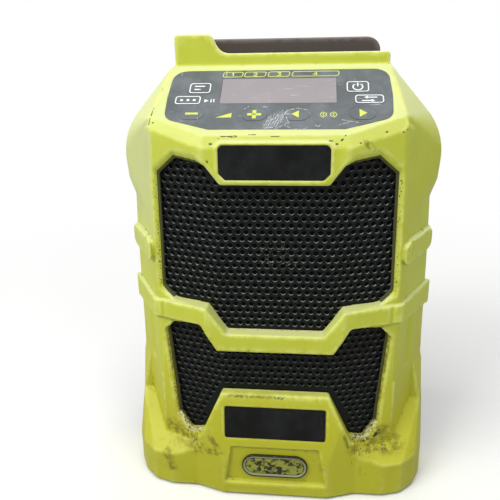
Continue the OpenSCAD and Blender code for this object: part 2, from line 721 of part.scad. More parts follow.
// A pan-head screw pointing along -Y, with its head from y to y + head.
module screw(x, z, y, r, length, head_r, head) {
  bar_y(x, z, r, y - length, y + 0.5);
  difference() {
    bar_y(x, z, head_r, y, y + head);
    translate([x, y + head - 0.9, z]) rotate([-90, 0, 0]) {
      linear_extrude(2) square([0.9, head_r], center = true);
      linear_extrude(2) square([head_r, 0.9], center = true);
    }
  }
}

module housing_screws() color("dimgray") for (p = screw_points, s = [-1, 1])
  screw(s * p.x, p.y, part_y + 5, 1.7, 24, 3.4, 2.4);
module baffle_screws() color("silver") for (p = baffle_points)
  screw(p.x, p.y, baffle_y + baffle_t, 1.25, 10, 2.8, 1.8);
module speaker_screws() color("silver") for (p = speaker_points)
  screw(p.x, p.y, basket_y + 1.2, 1.4, 5, 2.1, 1.6);
module board_screws() color("silver") {
  on_panel() for (p = board_points) translate([p.x, p.y, board_z - board_t - 1.6]) {
    cylinder(r = 2.5, h = 1.6, $fn = 32);
    cylinder(r = 0.85, h = 8, $fn = 24);
  }
  for (p = main_points) {
    bar_y(p.x, p.y, 2.8, board_y - 1.6, board_y);
    bar_y(p.x, p.y, 1.25, board_y - 1, board_y + 9);
  }
}

// ---- nodes ------------------------------------------------------------------

front_housing();
rear_housing();
upper_grille();
lower_grille();
grille_cloth();
speaker_baffle();
upper_badge();
lower_badge();
oval_badge();
control_overlay();
display_window();
display_module();
key("display_key");  // display_key
key("preset_key");  // preset_key
key("volume_down_key");  // volume_down_key
key("volume_up_key");  // volume_up_key
key("scan_back_key");  // scan_back_key
key("scan_forward_key");  // scan_forward_key
key("power_key");  // power_key
key("mode_key");  // mode_key
key_dome_sheet();
control_board();
main_board();
amplifier_heatsink();
speaker_gasket();
speaker_basket();
speaker_surround();
speaker_cone();
dust_cap();
voice_coil();
spider();
top_plate();
speaker_magnet();
magnet_yoke();
bass_port();
ferrite_antenna();
antenna_coil();
battery_socket();
battery_terminals();
audio_jack();
port_cover();
cover_pin();
phone_slot_pad();
rubber_feet();
housing_screws();
baffle_screws();
speaker_screws();
board_screws();
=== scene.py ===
"""Looks of the compact jobsite radio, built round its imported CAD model.

The housings get soft moulded edges, the grille a powder coat, the control
panel its printed marks, and every inner piece the finish of its real material.
All sizes are in millimetres until they are written into a mesh.
"""

from __future__ import annotations

import json
import logging
import math
from dataclasses import dataclass, field, replace
from enum import Enum
from typing import Callable, Iterable, Sequence

import bmesh
import bpy
import numpy as np
from mathutils import Matrix, Vector

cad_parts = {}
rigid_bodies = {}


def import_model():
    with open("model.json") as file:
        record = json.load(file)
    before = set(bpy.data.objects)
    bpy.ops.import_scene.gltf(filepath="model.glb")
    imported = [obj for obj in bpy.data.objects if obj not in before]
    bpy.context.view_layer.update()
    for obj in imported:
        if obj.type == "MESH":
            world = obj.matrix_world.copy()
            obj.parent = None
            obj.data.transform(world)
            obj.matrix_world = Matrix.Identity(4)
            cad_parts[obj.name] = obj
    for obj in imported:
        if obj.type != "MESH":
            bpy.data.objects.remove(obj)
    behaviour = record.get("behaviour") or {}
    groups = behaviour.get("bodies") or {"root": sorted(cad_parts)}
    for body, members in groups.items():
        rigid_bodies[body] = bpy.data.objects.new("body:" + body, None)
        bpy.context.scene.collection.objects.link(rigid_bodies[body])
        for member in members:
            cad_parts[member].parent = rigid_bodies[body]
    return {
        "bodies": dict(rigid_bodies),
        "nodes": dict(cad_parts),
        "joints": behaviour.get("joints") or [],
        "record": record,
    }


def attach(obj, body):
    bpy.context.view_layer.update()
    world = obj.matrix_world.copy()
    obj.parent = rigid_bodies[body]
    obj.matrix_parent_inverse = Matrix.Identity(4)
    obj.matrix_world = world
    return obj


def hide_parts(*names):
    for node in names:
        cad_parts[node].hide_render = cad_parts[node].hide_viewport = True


log = logging.getLogger("radio")

MM = 0.001
# Share of a stroke's width that is at full strength.
CORE = 0.3
# Vertices that lie closer than this in millimetres are one vertex.
WELD = 0.002
# A direction shorter than this is none.
TINY = 1e-6
Point = tuple[float, float]
Place = tuple[float, float, float]
Socket = bpy.types.NodeSocket
Shaper = Callable[[np.ndarray], np.ndarray]


def linear(hexa: str) -> tuple[float, float, float, float]:
    """Turns an sRGB hex colour to linear light.

    Args:
        hexa: six hex digits with a leading hash.

    Returns:
        Red, green, blue and an alpha of one.
    """
    parts = [int(hexa[i : i + 2], 16) / 255 for i in (1, 3, 5)]
    r, g, b = (c / 12.92 if c <= 0.04045 else ((c + 0.055) / 1.055) ** 2.4 for c in parts)
    return r, g, b, 1.0


# ---- node trees ------------------------------------------------------------


def add(tree: bpy.types.NodeTree, kind: str, inputs: dict | None = None,
        **settings) -> bpy.types.Node:
    """Adds a node with its settings and its links.

    Args:
        tree: the tree that gets the node.
        kind: the node's Blender type.
        inputs: socket name or number to a socket that is linked, or a value.
        **settings: properties of the node.

    Returns:
        The new node.
    """
    made = tree.nodes.new(kind)
    for key, value in settings.items():
        setattr(made, key, value)
    for key, value in (inputs or {}).items():
        if isinstance(value, bpy.types.NodeSocket):
            tree.links.new(value, made.inputs[key])
        else:
            made.inputs[key].default_value = value
    return made


class Recipe:
    """The node tree of one finish, laid out in metres on the piece itself."""

    def __init__(self, name: str) -> None:
        """Starts an empty material.

        Args:
            name: the material's name.
        """
        self.material = bpy.data.materials.new(name)
        self.material.use_nodes = True
        self.tree = self.material.node_tree
        self.tree.nodes.clear()
        self.place = add(self.tree, "ShaderNodeTexCoord").outputs["Object"]

    def mask(self, low: float, high: float, kind: str, inputs: dict | None = None,
             output: int | str = 0, **settings) -> Socket:
        """Turns what a new node gives into a smooth mask.

        Args:
            low: the node's value at which the mask is zero.
            high: its value at which the mask is one.
            kind: the node's Blender type.
            inputs: its inputs, as for add.
            output: name or number of the output that is read.
            **settings: properties of the node.

        Returns:
            A mask from zero to one.
        """
        source = add(self.tree, kind, inputs, **settings).outputs[output]
        return add(self.tree, "ShaderNodeMapRange", {0: source, 1: low, 2: high},
                   interpolation_type="SMOOTHSTEP").outputs[0]

    def patches(self, size_mm: float, low: float, high: float, seed: float = 0.0,
                detail: float = 3.0, stretch: Place = (1.0, 1.0, 1.0)) -> Socket:
        """Makes soft patches of about one size.

        Args:
            size_mm: distance between patches.
            low: noise level at which a patch begins.
            high: noise level at which it is full.
            seed: place in the noise's fourth dimension.
            detail: number of finer octaves.
            stretch: scale along each axis.

        Returns:
            A mask from zero to one.
        """
        there = add(self.tree, "ShaderNodeMapping", {0: self.place, 3: stretch})
        return self.mask(low, high, "ShaderNodeTexNoise", {
            "Vector": there.outputs[0], "W": seed, "Scale": 1 / (size_mm * MM),
            "Detail": detail, "Roughness": 0.6}, noise_dimensions="4D")

    def both(self, *masks: Socket | float) -> Socket:
        """Multiplies masks, so that the result is high where all of them are.

        Args:
            *masks: masks and plain factors.

        Returns:
            Their product.
        """
        result = masks[0]
        for mask in masks[1:]:
            result = add(self.tree, "ShaderNodeMath", {0: result, 1: mask},
                         operation="MULTIPLY").outputs[0]
        return result

    def either(self, *masks: Socket) -> Socket:
        """Takes the highest of several masks.

        Args:
            *masks: masks from zero to one.

        Returns:
            Their maximum.
        """
        result = masks[0]
        for mask in masks[1:]:
            result = add(self.tree, "ShaderNodeMath", {0: result, 1: mask},
                         operation="MAXIMUM").outputs[0]
        return result

    def along(self, axis: str, low_mm: float, high_mm: float) -> Socket:
        """Makes a mask that rises along one axis of the piece.

        Args:
            axis: X, Y or Z.
            low_mm: where it is zero.
            high_mm: where it is one.

        Returns:
            The mask.
        """
        return self.mask(low_mm * MM, high_mm * MM, "ShaderNodeSeparateXYZ", {0: self.place},
                         axis)

    def facing(self, axis: str, low: float, high: float, normal: Socket | None = None) -> Socket:
        """Makes a mask of how far the surface faces along one axis.

        Args:
            axis: X, Y or Z.
            low: the normal's share of the axis at which the mask is zero.
            high: the share at which it is one.
            normal: the normal that is read, if it isn't the mesh's own.

        Returns:
            The mask.
        """
        if normal is None:
            normal = add(self.tree, "ShaderNodeNewGeometry").outputs["Normal"]
        return self.mask(low, high, "ShaderNodeSeparateXYZ", {0: normal}, axis)

    def stored(self, name: str, low: float, high: float) -> Socket:
        """Reads a number that a softened mesh has stored at its vertices.

        Args:
            name: "form" for how far the surface bulges, which is negative in a
                hollow, or "rim" for the distance from a grille opening.
            low: millimetres at which the mask is zero.
            high: millimetres at which it is one.

        Returns:
            The mask.
        """
        return self.mask(low, high, "ShaderNodeAttribute", output="Fac", attribute_name=name)

    def stroke(self, start: Place, end: Place, width_mm: float) -> Socket:
        """Makes a mask round a straight line, such as a scuff.

        Args:
            start: one end, in millimetres.
            end: the other end.
            width_mm: distance at which the mask reaches zero.

        Returns:
            The mask.
        """
        a, b = Vector(start) * MM, Vector(end) * MM
        run = b - a
        away = add(self.tree, "ShaderNodeVectorMath", {0: self.place, 1: a}, operation="SUBTRACT")
        share = add(self.tree, "ShaderNodeVectorMath",
                    {0: away.outputs[0], 1: run / run.length_squared}, operation="DOT_PRODUCT")
        held = add(self.tree, "ShaderNodeClamp", {0: share.outputs["Value"]})
        foot = add(self.tree, "ShaderNodeVectorMath", {0: run, "Scale": held.outputs[0]},
                   operation="SCALE")
        return self.mask(width_mm * MM, width_mm * MM * CORE, "ShaderNodeVectorMath",
                         {0: away.outputs[0], 1: foot.outputs[0]}, "Value",
                         operation="DISTANCE")

    def coats(self, base: str, *coats: tuple[Socket, str]) -> Socket:
        """Lays colours one over another.

        Args:
            base: hex colour of the bare material.
            *coats: a mask and a hex colour each, from the lowest up.

        Returns:
            The colour.
        """
        colour: Socket | tuple = linear(base)
        for mask, hexa in coats:
            colour = add(self.tree, "ShaderNodeMix", {0: mask, 6: colour, 7: linear(hexa)},
                         data_type="RGBA").outputs[2]
        return colour

    def levels(self, base: float, *changes: tuple[Socket, float]) -> Socket:
        """Moves a number from one level to others where masks are high.

        Args:
            base: the level with no mask.
            *changes: a mask and the level where it is one.

        Returns:
            The number.
        """
        level: Socket | float = base
        for mask, value in changes:
            level = add(self.tree, "ShaderNodeMix", {0: mask, 2: level, 3: value}).outputs[0]
        return level

    def relief(self, *heights: tuple[Socket, float], normal: Socket | None = None) -> Socket:
        """Turns masks into small bumps.

        Args:
            *heights: a mask and its height in millimetres, below zero for a pit.
            normal: the normal that they lie on, if it isn't the mesh's own.

        Returns:
            The bumped normal.
        """
        for mask, height in heights:
            inputs = {"Strength": 1.0, "Distance": abs(height) * MM, "Height": mask}
            if normal is not None:
                inputs["Normal"] = normal
            normal = add(self.tree, "ShaderNodeBump", inputs, invert=height < 0).outputs[0]
        return normal

    def surface(self, **inputs) -> bpy.types.Material:
        """Closes the recipe with one principled surface.

        Args:
            **inputs: socket names, with spaces written as underscores.

        Returns:
            The finished material.
        """
        named = {key.replace("_", " "): value for key, value in inputs.items()}
        shader = add(self.tree, "ShaderNodeBsdfPrincipled", named)
        add(self.tree, "ShaderNodeOutputMaterial", {0: shader.outputs[0]})
        return self.material


# ---- finishes --------------------------------------------------------------


class Finish:
    """A real material with its surface treatment."""

    def make(self) -> bpy.types.Material:
        """Builds the material's node tree."""
        raise NotImplementedError

    def on(self, objects: Iterable[bpy.types.Object]) -> None:
        """Gives several pieces this finish.

        Args:
            objects: the pieces.
        """
        material = self.make()
        for piece in objects:
            piece.data.materials.clear()
            piece.data.materials.append(material)


class Soil(Enum):
    """What years on a site leave on the housing, each with its colour."""

    SCUFF = "#2B2A1C"
    SPECKS = "#4A4526"
    STAIN = "#80791F"
    CRUST = "#E0DB9C"


@dataclass(frozen=True)
class Mark:
    """A mark of one kind along a straight line."""

    soil: Soil
    start: Place
    end: Place
    width: float = 0.6

    def on(self, piece: bpy.types.Object) -> Mark:
        """Moves the mark's ends onto a piece's surface.

        Args:
            piece: the piece.

        Returns:
            The moved mark.
        """
        ends = []
        for end in (self.start, self.end):
            found, place, _, _ = piece.closest_point_on_mesh(Vector(end) * MM)
            ends.append(tuple(place / MM) if found else end)
        return replace(self, start=ends[0], end=ends[1])


def marks_of(soil: Soil, *rows: tuple[Place, Place, float]) -> list[Mark]:
    """Lists marks of one kind.

    Args:
        soil: the kind.
        *rows: two ends and a width for each mark.

    Returns:
        The marks.
    """
    return [Mark(soil, *row) for row in rows]


def marks_of_both_sides(soil: Soil, *rows: tuple[Place, Place, float]) -> list[Mark]:
    """Lists marks of one kind on the right side, each with its like on the left.

    Args:
        soil: the kind.
        *rows: two ends and a width for each mark on the right.

    Returns:
        The marks of both sides.
    """
    left = [((-a[0], *a[1:]), (-b[0], *b[1:]), width) for a, b, width in rows]
    return marks_of(soil, *rows, *left)


@dataclass(frozen=True)
class MouldedAbs(Finish):
    """Injection-moulded ABS. Its spark-eroded mould gives it a dull, even grain,
    and years on a site leave mud in its corners and rubs on its edges."""

    name: str
    colour: str
    shade: str
    # Colour of the bulging edges: rubbed wear and a painted highlight.
    rubbed: str
    # Colour of the painted highlight on what faces up and on the left side.
    painted_highlight: str
    mud: str
    roughness: float
    mud_amount: float
    marks: tuple[Mark, ...] = ()
    # Colour of the strip against the grille: grime and painted shade.
    grime_and_painted_shade: str = "#20211A"
    grain: float = 0.9

    def soiled(self, r: Recipe, soil: Soil, *grains: Socket | float) -> Socket:
        """Gathers the marks of one kind into a mask.

        Args:
            r: the recipe.
            soil: the kind.
            *grains: masks that break the marks up.

        Returns:
            The mask.
        """
        lines = [r.stroke(m.start, m.end, m.width) for m in self.marks if m.soil is soil]
        return r.both(r.either(*lines), *grains) if lines else 0.0

    def make(self) -> bpy.types.Material:
        """Builds the material's node tree."""
        r = Recipe(self.name)
        # The real grain is about 0.1 mm; it is drawn at 0.9 mm so that it shows.
        grain = r.patches(self.grain, 0.35, 0.65, 2.0)
        # Crumbs of mud are 1 to 3 mm across and gather in drifts of some 17 mm.
        cloudy = r.both(r.patches(38, 0.35, 0.75, 1.0), 0.5)
        hollow = r.stored("form", -0.04, -0.4)
        low = r.along("Z", 62, 18)
        crumbs = r.patches(2.6, 0.5, 0.66, 5.0, 6)
        drifts = r.patches(17, 0.5, 0.7, 6.0, 4)
        mud = r.both(r.either(r.both(hollow, r.patches(9, 0.4, 0.62, 7.0, 4)),
                              r.both(low, drifts, 0.5)), crumbs, self.mud_amount)
        specks = r.both(r.patches(0.9, 0.71, 0.75, 9.0, 2), r.patches(21, 0.52, 0.7, 10.0), 0.8)
        # Painted highlight, with rubbing: the bulging edges are lightened, and more so higher up.
        rubbed_and_lit_edges = r.both(r.stored("form", 0.04, 0.22), r.patches(4.5, 0.34, 0.6, 3.0, 5),
                      r.levels(0.3, (r.along("Z", 20, 70), 0.8)))
        rubs = r.both(r.stored("form", 0.1, 0.34), r.patches(7, 0.62, 0.7, 12.0, 6), 0.6)
        fine = r.patches(0.8, 0.5, 0.6, 13.0, 4)
        scuffs = self.soiled(r, Soil.SCUFF, r.patches(1.6, 0.4, 0.52, 11.0, 4))
        dots = self.soiled(r, Soil.SPECKS, r.patches(0.9, 0.55, 0.62, 14.0, 3))
        stains = self.soiled(r, Soil.STAIN, r.patches(2.6, 0.36, 0.6, 15.0, 8), 0.85)
        crust = self.soiled(r, Soil.CRUST, r.patches(1.2, 0.4, 0.5, 16.0, 6),
                            r.patches(5, 0.3, 0.48, 18.0))
        # Painted shade, with grime, darkens the strip that lies against the grille.
        grime_and_painted_shade = r.both(r.stored("rim", 1.15, 0.7), 0.9 if self.marks else 0.0)
        # Painted highlight: what faces up above the foot, and the left side higher up, are paled
        # where the lamps light them.
        painted_highlight = r.both(r.either(r.both(r.facing("Z", 0.25, 0.8), r.along("Z", 44, 90)),
                                r.both(r.facing("X", -0.3, -0.7), r.along("Z", 110, 175))),
                       r.levels(0.44, (r.patches(3, 0.3, 0.62, 17.0, 8), 0.58)))
        # Dust, and painted shade where less light reaches, darken the hollows that don't face up
        # and the foot.
        film = r.both(r.either(hollow, r.both(low, 0.35)), r.patches(12, 0.3, 0.7, 8.0),
                      r.facing("Z", 0.5, 0.0), 0.5)
        # Painted shade: the lower part turns a darker, deeper yellow, as the light falls off
        # downwards.
        painted_low_shade = r.both(r.along("Z", 125, 35), 0.9)
        colour = r.coats(
            self.colour, (r.either(cloudy, painted_low_shade), self.shade), (painted_highlight, self.painted_highlight),
            (rubbed_and_lit_edges, self.rubbed), (r.either(film, r.both(low, 0.1)), self.mud), (mud, self.mud),
            (stains, Soil.STAIN.value), (grime_and_painted_shade, self.grime_and_painted_shade), (crust, Soil.CRUST.value),
            (r.both(crust, fine, 0.7), self.mud), (dots, Soil.SPECKS.value),
            (r.either(specks, rubs), Soil.SPECKS.value), (scuffs, Soil.SCUFF.value))
        rough = r.levels(self.roughness, (rubbed_and_lit_edges, self.roughness - 0.08), (mud, 0.85),
                         (stains, 0.8), (grime_and_painted_shade, 0.9), (crust, 0.9))
        heights = [(grain, 0.02), (mud, 0.12)]
        if self.marks:
            heights.append((crust, 0.1))
        # Bare ABS has an IOR of 1.54; handling and dust have dulled it.
        return r.surface(Base_Color=colour, Roughness=rough, IOR=1.42,
                         Normal=r.relief(*heights))


@dataclass(frozen=True)
class PowderCoat(Finish):
    """Black powder coat on perforated steel. It melts to a smooth, faintly
    pebbled skin. It rounds each hole's rim, and the lower half of the rim is
    painted pale as a highlight, stronger higher up."""

    name: str
    colour: str
    # Colour of the painted highlight on the lower rims.
    rim: str
    haze: str = "#212423"
    dust: str = "#5A584C"
    primer: str = "#A9A79C"
    rounding: float = 0.5
    # Ends and width of the place where knocks have chipped the coat.
    knock: tuple[Place, Place, float] = ((-2, -50, 137), (8, -50, 135), 9)

    def make(self) -> bpy.types.Material:
        """Builds the material's node tree."""
        r = Recipe(self.name)
        soft = add(r.tree, "ShaderNodeBevel", {"Radius": self.rounding * MM}, samples=6).outputs[0]
        # Painted highlight: the lower half of each rounded rim is lightened, more so higher up, as
        # if it caught the light.
        lower_rim_highlight = r.both(r.facing("Z", 0.26, 0.5, soft), r.patches(6, 0.2, 0.6, 6.0, 3),
                       r.levels(0.28, (r.along("Z", 50, 125), 0.9)))
        # Molten powder dries with pebbles about 0.7 mm apart, and dust lies in its pits.
        pebbles = r.patches(0.7, 0.3, 0.7, 1.0, 2)
        dust = r.both(r.patches(1.3, 0.62, 0.74, 2.0, 4), r.patches(26, 0.54, 0.74, 3.0), 0.35)
        chipped = r.both(r.stroke(*self.knock), r.patches(1.1, 0.58, 0.66, 4.0, 4), 0.8)
        haze = r.both(r.patches(30, 0.4, 0.8, 5.0), 0.3)
        colour = r.coats(self.colour, (haze, self.haze), (lower_rim_highlight, self.rim), (dust, self.dust),
                         (chipped, self.primer))
        # Polyester powder has an IOR of 1.5; matting agents leave a weaker reflection.
        return r.surface(Base_Color=colour, IOR=1.24,
                         Roughness=r.levels(0.45, (lower_rim_highlight, 0.3), (dust, 0.8)),
                         Normal=r.relief((pebbles, 0.015), normal=soft))


@dataclass(frozen=True)
class PrintedFilm(Finish):
    """Screen-printed polycarbonate film with a satin face. Keys and dust have
    left it hazy, with fine pale scratches in every direction."""

    name: str
    colour: str
    scratch: str
    haze: float = 0.5
    ior: float = 1.4
    coat: float = 0.15
    clouded: str = "#757B82"
    # Ends of each long scratch, and ends and width of the place wiped dull.
    hairs: tuple[tuple[Place, Place], ...] = ()
    wiped: tuple[Place, Place, float] | None = None

    def make(self) -> bpy.types.Material:
        """Builds the material's node tree."""
        r = Recipe(self.name)
        cloud = r.both(r.patches(16, 0.38, 0.68, 1.0, 6), self.haze)
        level = r.both(r.patches(2.4, 0.66, 0.7, 2.0, 2, (0.16, 1.6, 1.6)),
                       r.patches(11, 0.45, 0.6, 3.0))
        upright = r.both(r.patches(2.2, 0.67, 0.71, 4.0, 2, (1.8, 0.2, 0.2)),
                         r.patches(13, 0.5, 0.62, 5.0))
        specks = r.both(r.patches(1.0, 0.68, 0.73, 6.0, 3), r.patches(15, 0.48, 0.66, 7.0))
        marks = r.both(r.either(level, upright, specks), 0.75)
        if self.hairs:
            # A hair scratch is about 0.1 mm wide; it is drawn at 0.5 mm so that it shows.
            lines = [r.stroke(start, end, 0.26) for start, end in self.hairs]
            broken = r.both(r.either(*lines), r.patches(0.9, 0.42, 0.56, 10.0))
            marks = r.either(marks, broken)
        if self.wiped:
            dull = r.both(r.stroke(*self.wiped), r.patches(0.8, 0.5, 0.6, 9.0, 4), 0.35)
            marks = r.either(marks, dull)
        colour = r.coats(self.colour, (cloud, self.clouded), (marks, self.scratch))
        # The satin face is rough at 0.05 mm; it is drawn at 0.8 mm so that it shows.
        satin = r.patches(0.8, 0.3, 0.7, 8.0, 2)
        return r.surface(Base_Color=colour, IOR=self.ior,
                         Coat_Weight=self.coat, Coat_Roughness=0.2,
                         Roughness=r.levels(0.34, (cloud, 0.45), (marks, 0.7)),
                         Normal=r.relief((satin, 0.012), (marks, -0.03)))


@dataclass(frozen=True)
class PrintInk(Finish):
    """Screen-print ink: an even matt coat, rubbed thin in places."""

    name: str
    colour: str
    rubbed: str

    def make(self) -> bpy.types.Material:
        """Builds the material's node tree."""
        r = Recipe(self.name)
        thin = r.both(r.patches(1.4, 0.5, 0.72, 1.0, 4), 0.7)
        return r.surface(Base_Color=r.coats(self.colour, (thin, self.rubbed)),
                         Roughness=r.levels(0.5, (thin, 0.65)), IOR=1.5)


@dataclass(frozen=True)
class AcrylicPane(Finish):
    """Moulded acrylic over a switched-off liquid crystal display. The grey
    glass behind it shows as a warm grey, with dust and wiping marks on top."""

    name: str
    colour: str
    warm: str
    wiped: str = "#C9C3C4"
    dust: str = "#E4E0DE"

    def make(self) -> bpy.types.Material:
        """Builds the material's node tree."""
        r = Recipe(self.name)
        warm = r.both(r.patches(24, 0.3, 0.75, 1.0, 3), 0.8)
        dust = r.both(r.patches(0.9, 0.62, 0.72, 2.0, 4), r.patches(10, 0.42, 0.65, 3.0), 0.5)
        wipes = r.both(r.patches(3.0, 0.6, 0.68, 4.0, 2, (0.3, 1.5, 1.5)), 0.25)
        colour = r.coats(self.colour, (warm, self.warm), (wipes, self.wiped), (dust, self.dust))
        return r.surface(Base_Color=colour, IOR=1.36,
                         Roughness=r.levels(0.16, (wipes, 0.35), (dust, 0.6)),
                         Normal=r.relief((dust, 0.02)))


@dataclass(frozen=True)
class Rubber(Finish):
    """Moulded rubber: matt, with a grey bloom and dust that clings to it."""

    name: str
    colour: str
    bloom: str = "#4A4946"
    dust: str = "#77746A"

    def make(self) -> bpy.types.Material:
        """Builds the material's node tree."""
        r = Recipe(self.name)
        bloom = r.both(r.patches(7, 0.4, 0.75, 1.0, 5), 0.5)
        dust = r.both(r.patches(1.1, 0.6, 0.72, 2.0, 4), 0.5)
        # The mould's grain is about 0.2 mm; it is drawn at 0.6 mm so that it shows.
        grain = r.patches(0.6, 0.35, 0.65, 3.0, 2)
        return r.surface(Base_Color=r.coats(self.colour, (bloom, self.bloom), (dust, self.dust)),
                         Roughness=r.levels(0.75, (bloom, 0.85)), IOR=1.52,
                         Normal=r.relief((grain, 0.03)))


@dataclass(frozen=True)
class WornMetal(Finish):
    """Turned, pressed or plated metal. Fine lines and dull spots of oxide
    break up its shine."""

    name: str
    colour: str
    dull: str
    roughness: float
    metallic: float = 1.0
    lines: Place = (1.0, 1.0, 1.0)

    def make(self) -> bpy.types.Material:
        """Builds the material's node tree."""
        r = Recipe(self.name)
        oxide = r.both(r.patches(3.2, 0.48, 0.7, 1.0, 5), 0.7)
        # Turning and rolling lines are about 0.05 mm apart; drawn at 0.7 mm.
        lined = r.patches(0.7, 0.3, 0.7, 2.0, 3, self.lines)
        return r.surface(Base_Color=r.coats(self.colour, (oxide, self.dull)),
                         Metallic=self.metallic,
                         Roughness=r.levels(self.roughness, (oxide, self.roughness + 0.25)),
                         Normal=r.relief((lined, 0.01), (oxide, 0.01)))


@dataclass(frozen=True)
class RimmedBadge(Finish):
    """Pressed badge in silver paint between two dark lines. The black paint of
    its middle has worn through to the yellow-green plastic in patches."""

    name: str
    rim: str
    dark: str
    bare: str
    # The middle of the oval, half the run between its round ends, and the radii of
    # the silver line, of the dark line in it and of the painted middle.
    centre: Place
    half_run: float
    rings: tuple[float, float, float] = (6.75, 5.75, 5.3)
    scuffed: str = "#77784F"

    def make(self) -> bpy.types.Material:
        """Builds the material's node tree."""
        r = Recipe(self.name)
        x, y, z = self.centre
        ends = (x - self.half_run, y, z), (x + self.half_run, y, z)
        # The stroke's soft fall is cut to the crisp edge of a painted line.
        rim, inner, middle = (r.mask(0.0, 0.1, "ShaderNodeClamp", {0: r.stroke(*ends, ring)})
                              for ring in self.rings)
        bare = r.both(middle, r.patches(3.0, 0.44, 0.52, 1.0, 4), 0.9)
        scuffed = r.both(r.patches(1.6, 0.54, 0.64, 2.0, 5), 0.7)
        colour = r.coats(self.dark, (rim, self.rim), (inner, self.dark), (bare, self.bare),
                         (scuffed, self.scuffed))
        return r.surface(Base_Color=colour, Metallic=0.2, IOR=1.4,
                         Roughness=r.levels(0.4, (bare, 0.5), (scuffed, 0.7)),
                         Normal=r.relief((inner, -0.2), (bare, -0.05)))


@dataclass(frozen=True)
class WovenCloth(Finish):
    """Open plain weave of thin yarn: two crossed sets of rounded threads."""

    name: str
    colour: str
    thread: str
    fluff: str = "#3A3935"
    pitch: float = 0.9

    def make(self) -> bpy.types.Material:
        """Builds the material's node tree."""
        r = Recipe(self.name)
        # The yarns are about 0.5 mm apart; they are drawn at 0.9 mm so that they show.
        # Wave textures repeat every 2 pi / (20 * scale), here one yarn pitch.
        scale = 2 * math.pi / (20 * self.pitch * MM)
        threads = [r.mask(0.2, 0.9, "ShaderNodeTexWave", {"Vector": r.place, "Scale": scale},
                          "Fac", bands_direction=axis) for axis in ("X", "Z")]
        weave = r.either(*threads)
        fluff = r.both(r.patches(1.8, 0.5, 0.75, 1.0, 4), 0.4)
        colour = r.coats(self.colour, (weave, self.thread), (fluff, self.fluff))
        return r.surface(Base_Color=colour, Roughness=0.95, IOR=1.2,
                         Normal=r.relief((weave, 0.15)))


@dataclass(frozen=True)
class SolderedLaminate(Finish):
    """Glass-epoxy circuit board under green solder mask, with the paler paths
    of its copper showing through."""

    name: str
    colour: str
    tracks: str = "#2E7A45"

    def make(self) -> bpy.types.Material:
        """Builds the material's node tree."""
        r = Recipe(self.name)
        # Copper tracks run in bundles some 5 mm apart and stand 0.035 mm high.
        tracks = r.either(r.patches(5, 0.55, 0.57, 1.0, 0, (0.2, 1.0, 1.4)),
                          r.patches(5, 0.56, 0.58, 2.0, 0, (1.4, 1.0, 0.2)))
        return r.surface(Base_Color=r.coats(self.colour, (r.both(tracks, 0.7), self.tracks)),
                         Roughness=0.3, IOR=1.55, Normal=r.relief((tracks, 0.035)))


@dataclass(frozen=True)
class PressedGrain(Finish):
    """Paper pulp, sintered ferrite or silicone: a dull body with a fine,
    uneven grain pressed into it."""

    name: str
    colour: str
    fleck: str
    roughness: float
    grain: float
    transmission: float = 0.0

    def make(self) -> bpy.types.Material:
        """Builds the material's node tree."""
        r = Recipe(self.name)
        flecks = r.both(r.patches(self.grain, 0.45, 0.7, 1.0, 5), 0.7)
        return r.surface(Base_Color=r.coats(self.colour, (flecks, self.fleck)),
                         Roughness=self.roughness, Transmission_Weight=self.transmission,
                         Normal=r.relief((flecks, 0.04)))


# ---- meshes ----------------------------------------------------------------


def link(name: str, mesh: bpy.types.Mesh) -> bpy.types.Object:
    """Puts a mesh into the scene.

    Args:
        name: the piece's name.
        mesh: its mesh.

    Returns:
        The new piece.
    """
    piece = bpy.data.objects.new(name, mesh)
    bpy.context.scene.collection.objects.link(piece)
    return piece


def relaxed(points: np.ndarray, edges: np.ndarray, rounds: int) -> np.ndarray:
    """Moves every vertex towards the middle of its neighbours, again and again.

    Args:
        points: the vertices.
        edges: pairs of vertex numbers.
        rounds: number of moves.

    Returns:
        The moved vertices.
    """
    ends = np.concatenate([edges, edges[:, ::-1]])
    count = np.maximum(np.bincount(ends[:, 0], minlength=len(points)), 1)
    moved = points.copy()
    for _ in range(rounds):
        middle = np.stack([np.bincount(ends[:, 0], moved[ends[:, 1], k], len(points)) / count
                           for k in range(3)], axis=1)
        moved += 0.5 * (middle - moved)
    return moved


